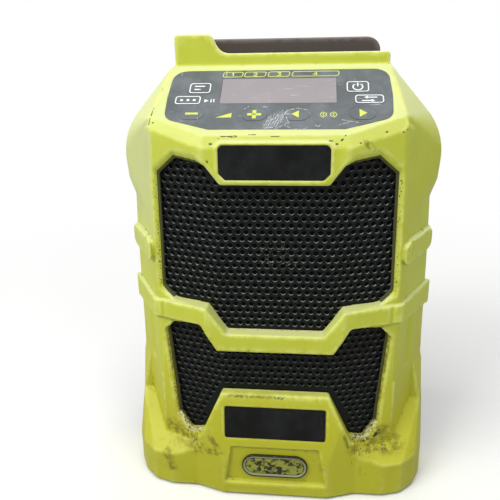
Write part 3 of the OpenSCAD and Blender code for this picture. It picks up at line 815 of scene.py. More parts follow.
def softened(source: bpy.types.Object, name: str, voxel: float, rounds: int, wide: int,
             keep: float, press: Shaper | None = None,
             rim: Shaper | None = None) -> bpy.types.Object:
    """Copies a CAD shell and gives it the soft edges of a moulding.

    Its vertices get the attribute "form": how far, in millimetres, each stands
    out of the wider surface round it.

    Args:
        source: the CAD node.
        name: name of the new piece.
        voxel: size of the new mesh's cells in millimetres.
        rounds: how often the edges are eased.
        wide: how often for the wider surface that "form" is measured from.
        keep: share of the faces that is kept where the surface is flat.
        press: what is done to the vertices, in millimetres, before they are eased.
        rim: measures the attribute "rim" at the eased vertices.

    Returns:
        The new piece.
    """
    built = bmesh.new()
    built.from_mesh(source.data)
    bmesh.ops.remove_doubles(built, verts=built.verts, dist=WELD * MM)
    mesh = bpy.data.meshes.new(name)
    built.to_mesh(mesh)
    built.free()
    piece = link(name, mesh)
    skin = piece.modifiers.new("skin", "REMESH")
    skin.mode, skin.voxel_size = "VOXEL", voxel * MM
    apply_modifiers(piece)

    mesh = piece.data
    points = np.empty(len(mesh.vertices) * 3)
    mesh.vertices.foreach_get("co", points)
    points = points.reshape(-1, 3)
    if press:
        points = press(points / MM) * MM
    edges = np.empty(len(mesh.edges) * 2, dtype=np.int64)
    mesh.edges.foreach_get("vertices", edges)
    edges = edges.reshape(-1, 2)
    eased = relaxed(points, edges, rounds)
    around = relaxed(eased, edges, wide)
    mesh.vertices.foreach_set("co", eased.ravel())
    mesh.update()
    normals = np.empty(len(points) * 3)
    mesh.vertices.foreach_get("normal", normals)
    stored = {"form": np.einsum("ij,ij->i", eased - around, normals.reshape(-1, 3)) / MM}
    if rim:
        stored["rim"] = rim(eased / MM)
    for kind, values in stored.items():
        attribute = mesh.attributes.new(kind, "FLOAT", "POINT")
        attribute.data.foreach_set("value", values.astype(np.float32))

    thin = piece.modifiers.new("thin", "DECIMATE")
    thin.ratio = keep
    apply_modifiers(piece)
    piece.data.shade_smooth()
    return piece


def apply_modifiers(piece: bpy.types.Object) -> None:
    """Writes a piece's modifiers into its mesh.

    Args:
        piece: the piece.
    """
    bpy.context.view_layer.update()
    seen = piece.evaluated_get(bpy.context.evaluated_depsgraph_get())
    mesh = bpy.data.meshes.new_from_object(seen)
    piece.modifiers.clear()
    old, piece.data = piece.data, mesh
    bpy.data.meshes.remove(old)


def edge_break(pieces: Iterable[bpy.types.Object], width: float, segments: int = 2,
               sharp: float = 40.0) -> None:
    """Rounds the sharp edges of small pieces so that they catch the light.

    Args:
        pieces: the pieces.
        width: width of the rounding in millimetres.
        segments: number of facets across it.
        sharp: angle in degrees from which an edge is rounded.
    """
    for piece in pieces:
        weld = piece.modifiers.new("weld", "WELD")
        weld.merge_threshold = WELD * MM
        bevel = piece.modifiers.new("edges", "BEVEL")
        bevel.width, bevel.segments = width * MM, segments
        bevel.limit_method, bevel.angle_limit = "ANGLE", math.radians(sharp)
        bevel.use_clamp_overlap = True


# ---- flat printed marks ----------------------------------------------------


@dataclass(frozen=True)
class Plane:
    """A plane on the housing: across, up its slope and out of it."""

    origin: Place
    tilt: float

    def lift(self, u: float, s: float, n: float) -> Vector:
        """Places a point of the plane in the frame.

        Args:
            u: distance across in millimetres.
            s: distance up the slope.
            n: height above the plane.

        Returns:
            The point in metres.
        """
        c, d = math.cos(math.radians(self.tilt)), math.sin(math.radians(self.tilt))
        x, y, z = self.origin
        return Vector((x + u, y + s * c - n * d, z + s * d + n * c)) * MM

    def spot(self, u: float, s: float) -> Vector:
        """Places a point that lies in the plane, in millimetres."""
        return self.lift(u, s, 0) / MM


PANEL = Plane((0.0, -55.0, 194.2), 35.5)


@dataclass
class InkMesh:
    """Thin flat shapes of ink that lie on one plane, gathered into one mesh."""

    plane: Plane
    height: float
    depth: float = 0.03
    # Corners are cut short, so that the sharpest don't grow a spike.
    blunt: float = 0.4
    built: bmesh.types.BMesh = field(default_factory=bmesh.new)

    def strip(self, line: Sequence[Point], width: float, closed: bool = False) -> None:
        """Draws a line of even width.

        Args:
            line: its points.
            width: its width in millimetres.
            closed: whether the last point joins the first.
        """
        count = len(line)
        sides: list[tuple[Point, Point]] = []
        for i, (u, s) in enumerate(line):
            before = line[i - 1] if i or closed else line[0]
            after = line[(i + 1) % count] if i < count - 1 or closed else line[-1]
            first = Vector((u - before[0], s - before[1]))
            second = Vector((after[0] - u, after[1] - s))
            first = (first if first.length > TINY else second).normalized()
            second = (second if second.length > TINY else first).normalized()
            reach = width / 2 / max(self.blunt, 1 + first.dot(second))
            u_out, s_out = (first.y + second.y) * reach, (-first.x - second.x) * reach
            sides.append(((u + u_out, s + s_out), (u - u_out, s - s_out)))
        for i in range(count if closed else count - 1):
            (a, b), (c, d) = sides[i], sides[(i + 1) % count]
            self.patch([a, c, d, b])

    def patch(self, outline: Sequence[Point]) -> None:
        """Fills an outline.

        Args:
            outline: its points.
        """
        top = [self.built.verts.new(self.plane.lift(u, s, self.height)) for u, s in outline]
        low = [self.built.verts.new(self.plane.lift(u, s, self.height - self.depth))
               for u, s in outline]
        self.built.faces.new(top)
        self.built.faces.new(low[::-1])
        for i in range(len(top)):
            j = (i + 1) % len(top)
            self.built.faces.new([top[i], low[i], low[j], top[j]])

    def piece(self, name: str, ink: Finish, body: str) -> bpy.types.Object:
        """Closes the marks into a piece.

        Args:
            name: its name.
            ink: its finish.
            body: the CAD body that it rides on.

        Returns:
            The new piece.
        """
        bmesh.ops.recalc_face_normals(self.built, faces=self.built.faces)
        mesh = bpy.data.meshes.new(name)
        self.built.to_mesh(mesh)
        self.built.free()
        made = link(name, mesh)
        ink.on([made])
        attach(made, body)
        return made


def loop(box: tuple[float, float, float, float], corner: float, slant: float = 0.0,
         steps: int = 5) -> list[Point]:
    """Draws a rounded box.

    Args:
        box: its left, lower, right and upper sides.
        corner: radius of its corners.
        slant: how far it leans to the right for each unit of height.
        steps: points at each corner.

    Returns:
        The outline's points.
    """
    left, low, right, high = box
    centres = [(right - corner, low + corner, -90), (right - corner, high - corner, 0),
               (left + corner, high - corner, 90), (left + corner, low + corner, 180)]
    points = []
    for x, y, start in centres:
        for i in range(steps + 1):
            a = math.radians(start + 90 * i / steps)
            points.append((x + corner * math.cos(a), y + corner * math.sin(a)))
    middle = (low + high) / 2
    return [(x + slant * (y - middle), y) for x, y in points]


def arc(centre: Point, radii: Point, start: float, end: float,
        count: int) -> tuple[Point, ...]:
    """Draws an arc.

    Args:
        centre: its middle.
        radii: its radius across and up.
        start: angle in degrees of its first point.
        end: angle of its last point.
        count: number of points.

    Returns:
        The points.
    """
    return tuple((centre[0] + radii[0] * math.cos(a), centre[1] + radii[1] * math.sin(a))
                 for a in np.radians(np.linspace(start, end, count)))


# Each digit as one line in a box of one by one.
DIGITS: dict[int, tuple[Point, ...]] = {
    1: ((0.2, 0.75), (0.55, 1.0), (0.55, 0.0)),
    2: ((0.05, 0.8), (0.3, 1.0), (0.7, 1.0), (0.95, 0.75), (0.9, 0.55), (0.05, 0.0), (1.0, 0.0)),
    3: ((0.05, 1.0), (0.95, 1.0), (0.5, 0.6), (0.95, 0.4), (0.9, 0.12), (0.6, 0.0), (0.05, 0.06)),
    4: ((0.75, 0.0), (0.75, 1.0), (0.0, 0.3), (1.0, 0.3)),
}


# ---- sub-assemblies --------------------------------------------------------


class Radio:
    """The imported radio: its CAD nodes by name."""

    def __init__(self, frame: dict) -> None:
        """Keeps the frame's nodes.
        """
        self.nodes: dict[str, bpy.types.Object] = frame["nodes"]

    def get(self, *names: str) -> list[bpy.types.Object]:
        """Finds CAD nodes by name.

        Args:
            *names: the nodes' names.

        Returns:
            The nodes.
        """
        return [self.nodes[name] for name in names]


@dataclass(frozen=True)
class FrontFace:
    """The front face, which falls back at both sides to an upright crease."""

    depth: float = -55.0
    fall_from: float = 34.0
    slope: float = 0.386
    # The crease leans inwards above this height, by this much over this run.
    lean_from: float = 142.0
    lean_run: float = 87.0
    lean: Point = (3.0, 1.16)
    # Where the crease stands, across and forwards, and the way that it faces.
    crease: Point = (62.5, 44.0)
    crease_out: Point = (0.664, 0.748)
    # How deep the flat is sunk, the most that is cut, and its lower and upper end.
    crease_cut: tuple[float, float] = (0.5, 0.9)
    crease_run: tuple[float, float] = (66.0, 205.0)

    def at(self, x: np.ndarray) -> np.ndarray:
        """Finds the depth of the face.

        Args:
            x: places across the radio in millimetres.

        Returns:
            The depths.
        """
        return self.depth + np.maximum(0, abs(x) - self.fall_from) * self.slope

    def ease_crease(self, points: np.ndarray) -> np.ndarray:
        """Cuts a narrow flat along the two upright creases.

        Args:
            points: the front shell's vertices in millimetres.

        Returns:
            The moved vertices.
        """
        x, y, z = points.T
        lean = np.maximum(0, z - self.lean_from) / self.lean_run
        (across, depth), (i, j) = self.crease, self.crease_out
        sunk, most = self.crease_cut
        out = ((abs(x) - across + self.lean[0] * lean) * i
               - (y + depth + self.lean[1] * lean) * j + sunk)
        low, high = self.crease_run
        cut = np.where((out > 0) & (out < most) & (z > low) & (z < high), out, 0)
        return points - np.stack([np.sign(x) * i * cut, -j * cut, 0 * cut], axis=1)


FACE = FrontFace()


@dataclass(frozen=True)
class Opening:
    """A grille opening, whose rim is bevelled outside the badge frame."""

    # The outline's right half as across and up, and the height that it narrows to.
    half: tuple[Point, ...]
    middle: float
    # The bevel runs outside this distance across, between these heights, this wide.
    inner: float
    low: float
    high: float
    width: float
    # The opening narrows by this share for each millimetre behind the front.
    draft: float = 0.07 / 22
    front: float = -60.0
    # The rim begins this far outside the outline, and its bevel fades in over this run.
    ease: float = 0.6
    fade: float = 3.0
    # Vertices this far before and behind the face belong to the rim.
    reach: tuple[float, float] = (0.6, 4.5)
    least_share: float = 0.02
    far: float = 99.0
    # Width and depth of the sheet's seat, and depth of the bevel before it.
    seat: Point = (1.2, 2.2)
    bevel_depth: float = 1.3
    # Mud has built the bevel up below this height, over this run, by this width.
    built_up: tuple[float, float, float] = (48.0, 8.0, 0.8)

    def away(self, points: np.ndarray) -> np.ndarray:
        """Measures how far points lie outside the opening at their own depth.

        Args:
            points: places in millimetres.

        Returns:
            The distances, below zero inside it.
        """
        ring = np.array(self.half + tuple((-x, z) for x, z in self.half[::-1]))
        draw = 1 - self.draft * (points[:, 1] - self.front)
        flat = np.stack([points[:, 0] / draw,
                         (points[:, 2] - self.middle) / draw + self.middle], axis=1)
        nearest = np.full(len(flat), np.inf)
        inside = np.zeros(len(flat), dtype=bool)
        for a, b in zip(ring, np.roll(ring, -1, axis=0)):
            run = b - a
            share = np.clip((flat - a) @ run / (run @ run), 0, 1)
            nearest = np.minimum(nearest, np.linalg.norm(flat - a - share[:, None] * run, axis=1))
            level = (a[1] > flat[:, 1]) != (b[1] > flat[:, 1])
            inside ^= level & (flat[:, 0] < a[0] + (flat[:, 1] - a[1]) * run[0] / (run[1] or 1))
        return np.where(inside, -nearest, nearest) - self.ease

    def gap(self, points: np.ndarray) -> np.ndarray:
        """Measures how far the shell's vertices lie from the opening's rim.

        Args:
            points: the vertices in millimetres.

        Returns:
            The distances, which are large where the rim isn't bevelled.
        """
        x, y, z = points.T
        face = FACE.at(x)
        share = (np.clip(np.minimum(z - self.low, self.high - z) / self.fade, 0, 1)
                 * np.clip((abs(x) - self.inner) / self.fade, 0, 1))
        before, behind = self.reach
        near = (y > face - before) & (y < face + behind) & (share > self.least_share)
        flat = points[near]
        flat[:, 1] = face[near]
        found = np.full(len(points), self.far)
        found[near] = np.maximum(self.away(flat), 0) / share[near]
        return found

    def bevel(self, points: np.ndarray) -> np.ndarray:
        """Presses the rim back in two steps: a bevel and the seat of the sheet.

        Args:
            points: the shell's vertices in millimetres.

        Returns:
            The pressed vertices.
        """
        gap = self.gap(points)
        top, run, extra = self.built_up
        width = self.width + extra * np.clip((top - points[:, 2]) / run, 0, 1)
        lip, sunk = self.seat
        depth = np.where(gap < lip, sunk, self.bevel_depth * (width - gap) / (width - lip))
        pressed = points.copy()
        floor = FACE.at(points[:, 0]) + depth
        pressed[:, 1] = np.where((gap < width) & (points[:, 1] < floor), floor, points[:, 1])
        return pressed


OPENINGS = (
    Opening(half=((24.5, 96.7), (34.6, 110.2), (54, 110.6), (60.2, 117), (59.2, 178.6),
                  (49.7, 186.2), (33.8, 183), (26.4, 173.1)),
            middle=142, inner=34, low=112, high=192, width=3.9),
    Opening(half=((29.3, 62.2), (41.5, 34.5), (48.7, 32.6), (54.4, 41.2), (59, 95.7),
                  (55.5, 99.6), (38.9, 100.7), (30.3, 86.5)),
            middle=66, inner=41, low=28, high=95, width=3.4))


def rim_gap(points: np.ndarray) -> np.ndarray:
    """Measures how far vertices lie from the nearest bevelled rim.

    Args:
        points: the front shell's vertices in millimetres.

    Returns:
        The distances.
    """
    return np.minimum(*(opening.gap(points) for opening in OPENINGS))


def front_edges(points: np.ndarray) -> np.ndarray:
    """Bevels the grille openings and the two upright creases beside them.

    Args:
        points: the front shell's vertices in millimetres.

    Returns:
        The pressed vertices.
    """
    for opening in OPENINGS:
        points = opening.bevel(points)
    return FACE.ease_crease(points)


MARKS = (
    *marks_of(
        Soil.SCUFF,
        ((-59.0, -36.9, 207.1), (-59.4, -41.6, 203.7), 0.5),
        ((-59.4, -41.6, 203.7), (-60.2, -43.6, 200.0), 0.5),
        ((-58.2, -43.8, 200.8), (-58.0, -43.8, 200.8), 0.6),
        ((-24.3, -52.5, 195.5), (-17.2, -52.5, 195.5), 0.4),
        ((-19.6, -52.5, 195.4), (-17.6, -52.5, 195.6), 0.75),
        ((-11.6, -52.0, 196.3), (-8.4, -52.0, 196.3), 0.36),
        ((-1.4, -52.5, 195.5), (2.3, -52.5, 195.5), 0.3),
        ((-29.6, -54.1, 192.3), (-28.6, -54.1, 192.4), 0.7),
        ((-30.9, -55.0, 184.9), (-30.9, -55.0, 184.0), 0.7),
        ((-25.4, -53.0, 194.7), (-24.9, -53.0, 194.7), 0.6),
        ((13.9, -55.0, 192.0), (14.3, -55.0, 192.0), 0.5),
        ((24.9, -53.5, 193.6), (26.4, -53.5, 193.6), 0.5),
        ((28.0, -54.1, 192.3), (28.6, -54.1, 192.3), 0.6),
        ((30.3, -53.4, 193.8), (30.9, -53.2, 194.3), 0.6),
        ((32.1, -52.4, 195.7), (32.2, -52.3, 195.9), 0.6),
        ((38.7, -52.7, 192.5), (39.1, -52.6, 192.5), 0.5),
        ((50.4, -47.7, 196.7), (50.9, -47.6, 196.7), 0.6),
        ((58.3, -45.5, 196.3), (58.9, -45.4, 196.3), 0.6),
        ((60.4, -44.7, 197.2), (60.8, -44.5, 197.2), 0.6),
        ((33.0, -54.0, 51.0), (41.5, -55.6, 20.5), 0.45),
        ((53.2, -47.6, 34.0), (55.8, -46.6, 36.6), 1.7),
        ((47.0, -50.0, 31.5), (50.0, -49.0, 33.0), 1.2)),
    *marks_of(
        Soil.SPECKS,
        ((50.2, -11.7, 225.0), (54.0, -11.9, 225.0), 0.9),
        ((-25.0, -56.2, 60.4), (6.0, -56.2, 60.4), 1.2),
        ((-50.0, -49.0, 31.0), (-42.0, -53.0, 28.5), 4.0),
        ((44.0, -53.0, 29.0), (60.0, -48.0, 29.0), 5.0)),
    *marks_of_both_sides(
        Soil.SPECKS,
        ((58.7, -44.6, 178), (59.6, -44.4, 118), 1.3),
        ((57.6, -45.3, 94), (53.4, -46.6, 43), 1.5)),
    *marks_of(
        Soil.STAIN,
        ((41.2, -52.0, 192.9), (44.5, -50.9, 189.9), 2.4),
        ((-58.0, -46.6, 33.0), (-42.3, -53.5, 27.0), 7.5),
        ((42.0, -52.0, 30.5), (64.0, -46.0, 29.0), 8.5),
        ((50.0, -48.5, 38.0), (60.0, -46.0, 36.0), 5.5),
        ((-60.5, -54.0, 21.0), (-57.5, -54.6, 12.0), 4.0),
        ((-37.5, -57.0, 25.8), (-30.0, -59.0, 26.6), 3.0),
        ((-34.4, -57.8, 34.5), (-31.0, -58.8, 29.0), 3.2),
        ((36.6, -57.0, 39.5), (39.0, -56.4, 31.5), 1.5),
        ((-57.5, -45.0, 92), (-53.3, -46.3, 43), 1.5),
        ((57.5, -45.0, 92), (53.3, -46.3, 43), 1.7),
        ((-25.0, -56.0, 60.6), (4.0, -56.0, 60.6), 1.3)),
    # Painted shadow: a thin dark line under the proud band on each side, drawn as a stain.
    *marks_of_both_sides(
        Soil.STAIN,
        ((66.2, -41.5, 100.4), (53.8, -47.4, 99.0), 0.8)),
    *marks_of(
        Soil.CRUST,
        ((-26.0, -50.4, 61.7), (26.0, -50.4, 61.7), 1.5),
        ((-24.0, -51.0, 97.4), (24.0, -51.0, 97.4), 1.3)),
    *marks_of_both_sides(
        Soil.CRUST,
        ((53.2, -46.5, 41.5), (48.6, -47.5, 34.4), 2.2),
        ((48.6, -48.0, 34.2), (41.5, -50.0, 35.2), 2.8)),
)
LIME = MouldedAbs("Lime ABS, spark-eroded moulding", colour="#CBD548", shade="#BEBC22",
                  rubbed="#DCE376", painted_highlight="#D3D8B0", mud="#72702C", roughness=0.42,
                  mud_amount=0.9, marks=MARKS)
CHARCOAL = MouldedAbs("Charcoal ABS, spark-eroded moulding", colour="#504743", shade="#433B38",
                      rubbed="#685F5A", painted_highlight="#6E655F", mud="#6E665A", roughness=0.5,
                      mud_amount=0.55)
BLACK_ABS = MouldedAbs("Black ABS, moulded", colour="#1D1D1E", shade="#171718",
                       rubbed="#2C2C2D", painted_highlight="#232324", mud="#4D4A42", roughness=0.5,
                       mud_amount=0.3)
COAT = PowderCoat("Black powder coat on perforated steel", "#121514", "#A0A39C")


@dataclass
class Housings:
    """The lime front shell and the charcoal rear shell."""

    radio: Radio
    # Cell of the new mesh, how often it is eased for its edges and for the wider
    # surface, and the share of faces that is kept.
    voxel: float = 0.62
    rounds: int = 3
    wide_rounds: int = 24
    keep: float = 0.3

    def build(self) -> None:
        """Re-makes both shells with soft moulded edges."""
        for node, name, finish, slot, press, rim in (
                ("front_housing", "front_shell", LIME, "lime_shell", front_edges, rim_gap),
                ("rear_housing", "rear_shell", CHARCOAL, "dark_shell", None, None)):
            source = self.radio.nodes[node]
            piece = softened(source, name, self.voxel * (1.0),
                             self.rounds, self.wide_rounds, self.keep, press, rim)
            replace(finish, marks=tuple(mark.on(piece) for mark in finish.marks)).on([piece])
            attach(piece, "housing")
            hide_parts(node)
            log.info("%s: %d faces", name, len(piece.data.polygons))


@dataclass
class Grille:
    """The perforated sheets with the cloth behind them."""

    radio: Radio

    def build(self) -> None:
        """Dresses the sheets and the cloth."""
        sheets = self.radio.get("upper_grille", "lower_grille")
        COAT.on(sheets)
        WovenCloth("Black polyester grille cloth", "#090A0A", "#121414").on(
            self.radio.get("grille_cloth"))
        log.info("grille: %d sheets and their cloth", len(sheets))


WHITE_INK = PrintInk("White screen-print ink", "#E9EBEA", "#AEB3B6")
GREEN_INK = PrintInk("Yellow-green screen-print ink", "#D3DD55", "#A9B25A")
# Scratches beside the tuning key: across and up the panel at one end, then at the other.
HAIRS = (
    (-5.5, 7.9, -3.0, 15.6), (-4.6, 7.6, -1.7, 17.3), (-3.6, 7.9, -0.3, 17.9),
    (-2.1, 8.2, 1.1, 17.6), (-0.8, 8.9, 2.8, 18.6), (0.6, 9.2, 3.9, 18.2), (2.3, 11.8, 5.2, 19.6),
    (-1.9, 13.2, 6.2, 17.5), (-3.2, 10.5, 4.0, 14.8), (-0.2, 7.2, 7.3, 12.5),
    (1.6, 15.9, 7.0, 20.6), (-4.2, 12.6, 0.3, 15.2), (-5.3, 8.0, -0.8, 8.5), (1.1, 7.2, 4.2, 10.5),
    (4.7, 9.8, 8.0, 7.5), (8.0, 7.5, 13.0, 7.2), (13.0, 7.2, 16.6, 9.1), (4.9, 15.2, 6.5, 10.8),
    (5.2, 19.3, 9.8, 21.3), (9.8, 21.3, 15.0, 19.9), (15.0, 19.9, 16.4, 16.4),
    (18.4, 9.8, 20.0, 8.9), (20.0, 8.9, 20.8, 10.2), (30.6, 13.3, 38.6, 11.3),
    (-15.1, 20.9, -12.9, 22.9), (28.7, 9.7, 35.1, 12.3))


@dataclass(frozen=True)
class Sign:
    """What is printed on one key's cap, across and up the panel."""

    name: str
    key: str
    ink: PrintInk
    # The frame's left, lower, right and upper side.
    box: tuple[float, float, float, float] | None = None
    # The width and the points of each line, and the outline of each filled shape.
    strips: tuple[tuple[float, tuple[Point, ...]], ...] = ()
    shapes: tuple[tuple[Point, ...], ...] = ()


SIGNS = (
    Sign("display_key_print", "display_key", WHITE_INK, (-43.0, 32.8, -33.0, 39.6),
         strips=((0.8, ((-40.8, 37.5), (-35.76, 37.5))), (0.8, ((-40.8, 35.2), (-37.72, 35.2))))),
    Sign("preset_key_print", "preset_key", WHITE_INK, (-49.0, 24.9, -37.1, 30.1),
         shapes=tuple(tuple(loop((u - 0.75, 26.7, u + 0.75, 28.2), 0.7))
                      for u in (-46.1, -43.0, -39.9))),
    Sign("power_key_print", "power_key", WHITE_INK, (33.4, 32.7, 43.4, 39.7),
         strips=((0.65, arc((38.4, 36.0), (2.3, 2.3), 128, 412, 22)),
                 (0.65, ((38.4, 36.3), (38.4, 39.0))))),
    Sign("mode_key_print", "mode_key", WHITE_INK, (37.2, 24.7, 50.0, 29.9),
         strips=((0.7, ((40.0, 26.1), (44.8, 26.1))), (0.7, ((47.2, 28.4), (42.4, 28.4)))),
         shapes=(((44.4, 25.1), (46.2, 26.1), (44.4, 27.1)),
                 ((42.8, 29.4), (41.0, 28.4), (42.8, 27.4)))),
    Sign("volume_down_print", "volume_down_key", GREEN_INK,
         strips=((1.35, ((-43.0, 17.9), (-36.9, 17.9))),)),
    Sign("volume_up_print", "volume_up_key", GREEN_INK,
         strips=((1.5, ((-13.3, 17.1), (-6.8, 17.1))), (1.8, ((-10.05, 14.4), (-10.05, 19.9))))),
    Sign("scan_back_print", "scan_back_key", GREEN_INK,
         shapes=(((7.4, 17.2), (10.8, 14.8), (10.8, 19.6)),)),
    Sign("scan_forward_print", "scan_forward_key", GREEN_INK,
         shapes=(((42.2, 17.7), (38.7, 20.3), (38.7, 15.1)),)),
)


@dataclass
class ControlPanel:
    """The film, its keys, the display's pane and all that is printed on them."""

    radio: Radio
    film_height: float = -0.08
    key_height: float = 0.07
    frame_line: float = 0.55
    frame_corner: float = 1.3
    # Each key's middle, width, height and corner.
    key_boxes: tuple[tuple[float, ...], ...] = (
        (-38, 36.2, 10.8, 7.6, 1.5), (-43, 27.5, 12.6, 6, 1.5), (-39.9, 17.8, 12, 8, 9),
        (-10, 17.1, 12, 8.4, 9), (9.8, 17.1, 12, 8.4, 9), (40.2, 17.6, 12, 8.4, 9),
        (38.4, 36.2, 10.8, 7.8, 1.5), (43.6, 27.3, 13.6, 6, 1.5))
    # The film round a key dips by this depth, over this width, in the middle of its gap.
    dip: float = 0.06
    dip_width: float = 0.22
    gap: float = 0.25
    # Left and right end of each numbered pill, and its lower and upper side.
    pills: tuple[Point, ...] = ((-27.5, -17.8), (-16.7, -6.4), (-4.9, 5.4), (6.9, 29.5))
    pill_sides: Point = (44.5, 48.1)
    wave_centre: Point = (24.5, 16.8)

    def build(self) -> None:
        """Dresses the panel and prints its marks."""
        film = PrintedFilm(
            "Grey polycarbonate film, screen-printed", "#495051", "#C9CFD0",
            hairs=tuple((PANEL.spot(*hair[:2]), PANEL.spot(*hair[2:])) for hair in HAIRS),
            wiped=(PANEL.spot(-2, 9), PANEL.spot(4, 17), 5.5))
        keys = [name for name in self.radio.nodes if name.endswith("_key")]
        film.on(self.radio.get("control_overlay", *keys))
        edge_break(self.radio.get(*keys), 0.1)
        AcrylicPane("Clear acrylic over a grey display", "#959092", "#A2989A").on(
            self.radio.get("display_window"))
        for sign in SIGNS:
            self.print_key(sign)
        self.print_film()
        self.dip_film(film)
        self.print_play_sign()
        log.info("control panel: film, %d keys and their print", len(keys))

    def print_key(self, sign: Sign) -> None:
        """Prints a sign on its key's cap.

        Args:
            sign: the sign.
        """
        marks = InkMesh(PANEL, self.key_height)
        if sign.box:
            marks.strip(loop(sign.box, self.frame_corner), self.frame_line, closed=True)
        for width, line in sign.strips:
            marks.strip(line, width)
        for outline in sign.shapes:
            marks.patch(outline)
        marks.piece(sign.name, sign.ink, f"{sign.key}_body")

    def print_film(self) -> None:
        """Prints the numbered pills, the volume's wedge and the tuning's waves."""
        green = InkMesh(PANEL, self.film_height)
        low, high = self.pill_sides
        for number, (left, right) in enumerate(self.pills, start=1):
            green.strip(loop((left, low, right, high), 1.0, 0.15), 0.4, closed=True)
            start, foot = (left + right) / 2 - 1.0, low + 0.7
            green.strip([(start + 2.0 * x, foot + 2.2 * y) for x, y in DIGITS[number]], 0.5)
        # A rising wedge stands for volume, and arcs of waves for the tuning search.
        green.patch([(-28.2, 15.2), (-20.8, 15.2), (-20.8, 18.3)])
        for k in range(3):
            for side in (-1, 1):
                radii = (side * (1.2 + 1.3 * k), 1.2 + 0.5 * k)
                green.strip(arc(self.wave_centre, radii, -55, 55, 7), 0.42)
        green.piece("film_print", GREEN_INK, "housing")

    def dip_film(self, film: Finish) -> None:
        """Lays the film's dip round each key, where it stays one skin with the key.

        Args:
            film: the film's finish.
        """
        dips = InkMesh(PANEL, self.film_height - self.dip)
        for u, s, width, height, corner in self.key_boxes:
            half, rise = (width + self.gap) / 2, (height + self.gap) / 2
            dips.strip(loop((u - half, s - rise, u + half, s + rise), min(corner, rise - 0.01)),
                       self.dip_width, closed=True)
        dips.piece("film_dips", film, "housing")

    def print_play_sign(self) -> None:
        """Prints the small triangle and the two bars beside the preset key."""
        white = InkMesh(PANEL, self.film_height)
        white.patch([(-34.9, 25.8), (-32.8, 27.0), (-34.9, 28.2)])
        for u in (-31.6, -30.3):
            white.strip([(u, 25.8), (u, 28.2)], 0.6)
        white.piece("film_small_print", WHITE_INK, "housing")


@dataclass
class Badges:
    """The two bare black plates and the worn silver oval."""

    radio: Radio

    def build(self) -> None:
        """Dresses the plates."""
        plates = self.radio.get("upper_badge", "lower_badge")
        edge_break(plates, 0.3)
        PrintedFilm("Black satin label stock", "#111110", "#4A4A4A", haze=0.06, ior=1.25,
                    coat=0.0).on(plates)
        oval = self.radio.get("oval_badge")
        edge_break(oval, 0.25)
        RimmedBadge("Silver and black paint on a pressed badge, worn", rim="#A4A880",
                    dark="#2A2D22", bare="#A2A745", centre=(0.0, -58.2, 19.3),
                    half_run=10.9).on(oval)
        log.info("badges: bare plates and an oval")


@dataclass
class Loudspeaker:
    """The driver behind the cloth, with its baffle and bass port."""

    radio: Radio

    def build(self) -> None:
        """Dresses the driver's pieces."""
        get = self.radio.get
        BLACK_ABS.on(get("speaker_baffle", "bass_port", "battery_socket", "audio_jack"))
        WornMetal("Zinc-plated pressed steel", "#A9ABAD", "#7D7C78", 0.32).on(
            get("speaker_basket", "top_plate", "magnet_yoke", "cover_pin", "baffle_screws",
                "speaker_screws", "board_screws"))
        PressedGrain("Black paper pulp", "#1B1B1C", "#2E2E2F", 0.9, 1.2).on(
            get("speaker_cone", "dust_cap"))
        PressedGrain("Sintered ferrite", "#2C2C2F", "#45454A", 0.7, 0.8).on(
            get("speaker_magnet", "ferrite_antenna"))
        WornMetal("Enamelled copper wire", "#B87345", "#7C4A2C", 0.3, lines=(3.0, 3.0, 3.0)).on(
            get("voice_coil", "antenna_coil"))
        WovenCloth("Resin-dipped cotton spider", "#8C7A4E", "#A8945F").on(get("spider"))
        log.info("loudspeaker dressed")


@dataclass
class Insides:
    """Boards, display, heat sink and contacts."""

    radio: Radio

    def build(self) -> None:
        """Dresses the electronics."""
        get = self.radio.get
        SolderedLaminate("Glass-epoxy board, green solder mask", "#1C5A33").on(
            get("control_board", "main_board"))
        PressedGrain("Milky silicone", "#C9C9C6", "#B5B5B0", 0.6, 2.0, 0.3).on(
            get("key_dome_sheet"))
        AcrylicPane("Display glass and frame", "#8E8E8A", "#9C9A90").on(get("display_module"))
        WornMetal("Extruded aluminium", "#C4C6C8", "#9FA1A2", 0.4, lines=(0.2, 3.0, 3.0)).on(
            get("amplifier_heatsink"))
        WornMetal("Plated spring brass", "#CDAE6A", "#8F7743", 0.28).on(get("battery_terminals"))
        log.info("electronics dressed")


@dataclass
class Fittings:
    """Screws, feet, slot pad and the jack's cover."""

    radio: Radio

    def build(self) -> None:
        """Dresses the fittings."""
        get = self.radio.get
        edge_break(get("port_cover", "phone_slot_pad"), 0.3)
        Rubber("Black moulded rubber", "#202021").on(
            get("port_cover", "phone_slot_pad", "rubber_feet", "speaker_gasket",
                "speaker_surround"))
        WornMetal("Black-oxide steel screws", "#3B3B3D", "#57514A", 0.4).on(get("housing_screws"))
        log.info("fittings dressed")


# ---- studio ----------------------------------------------------------------


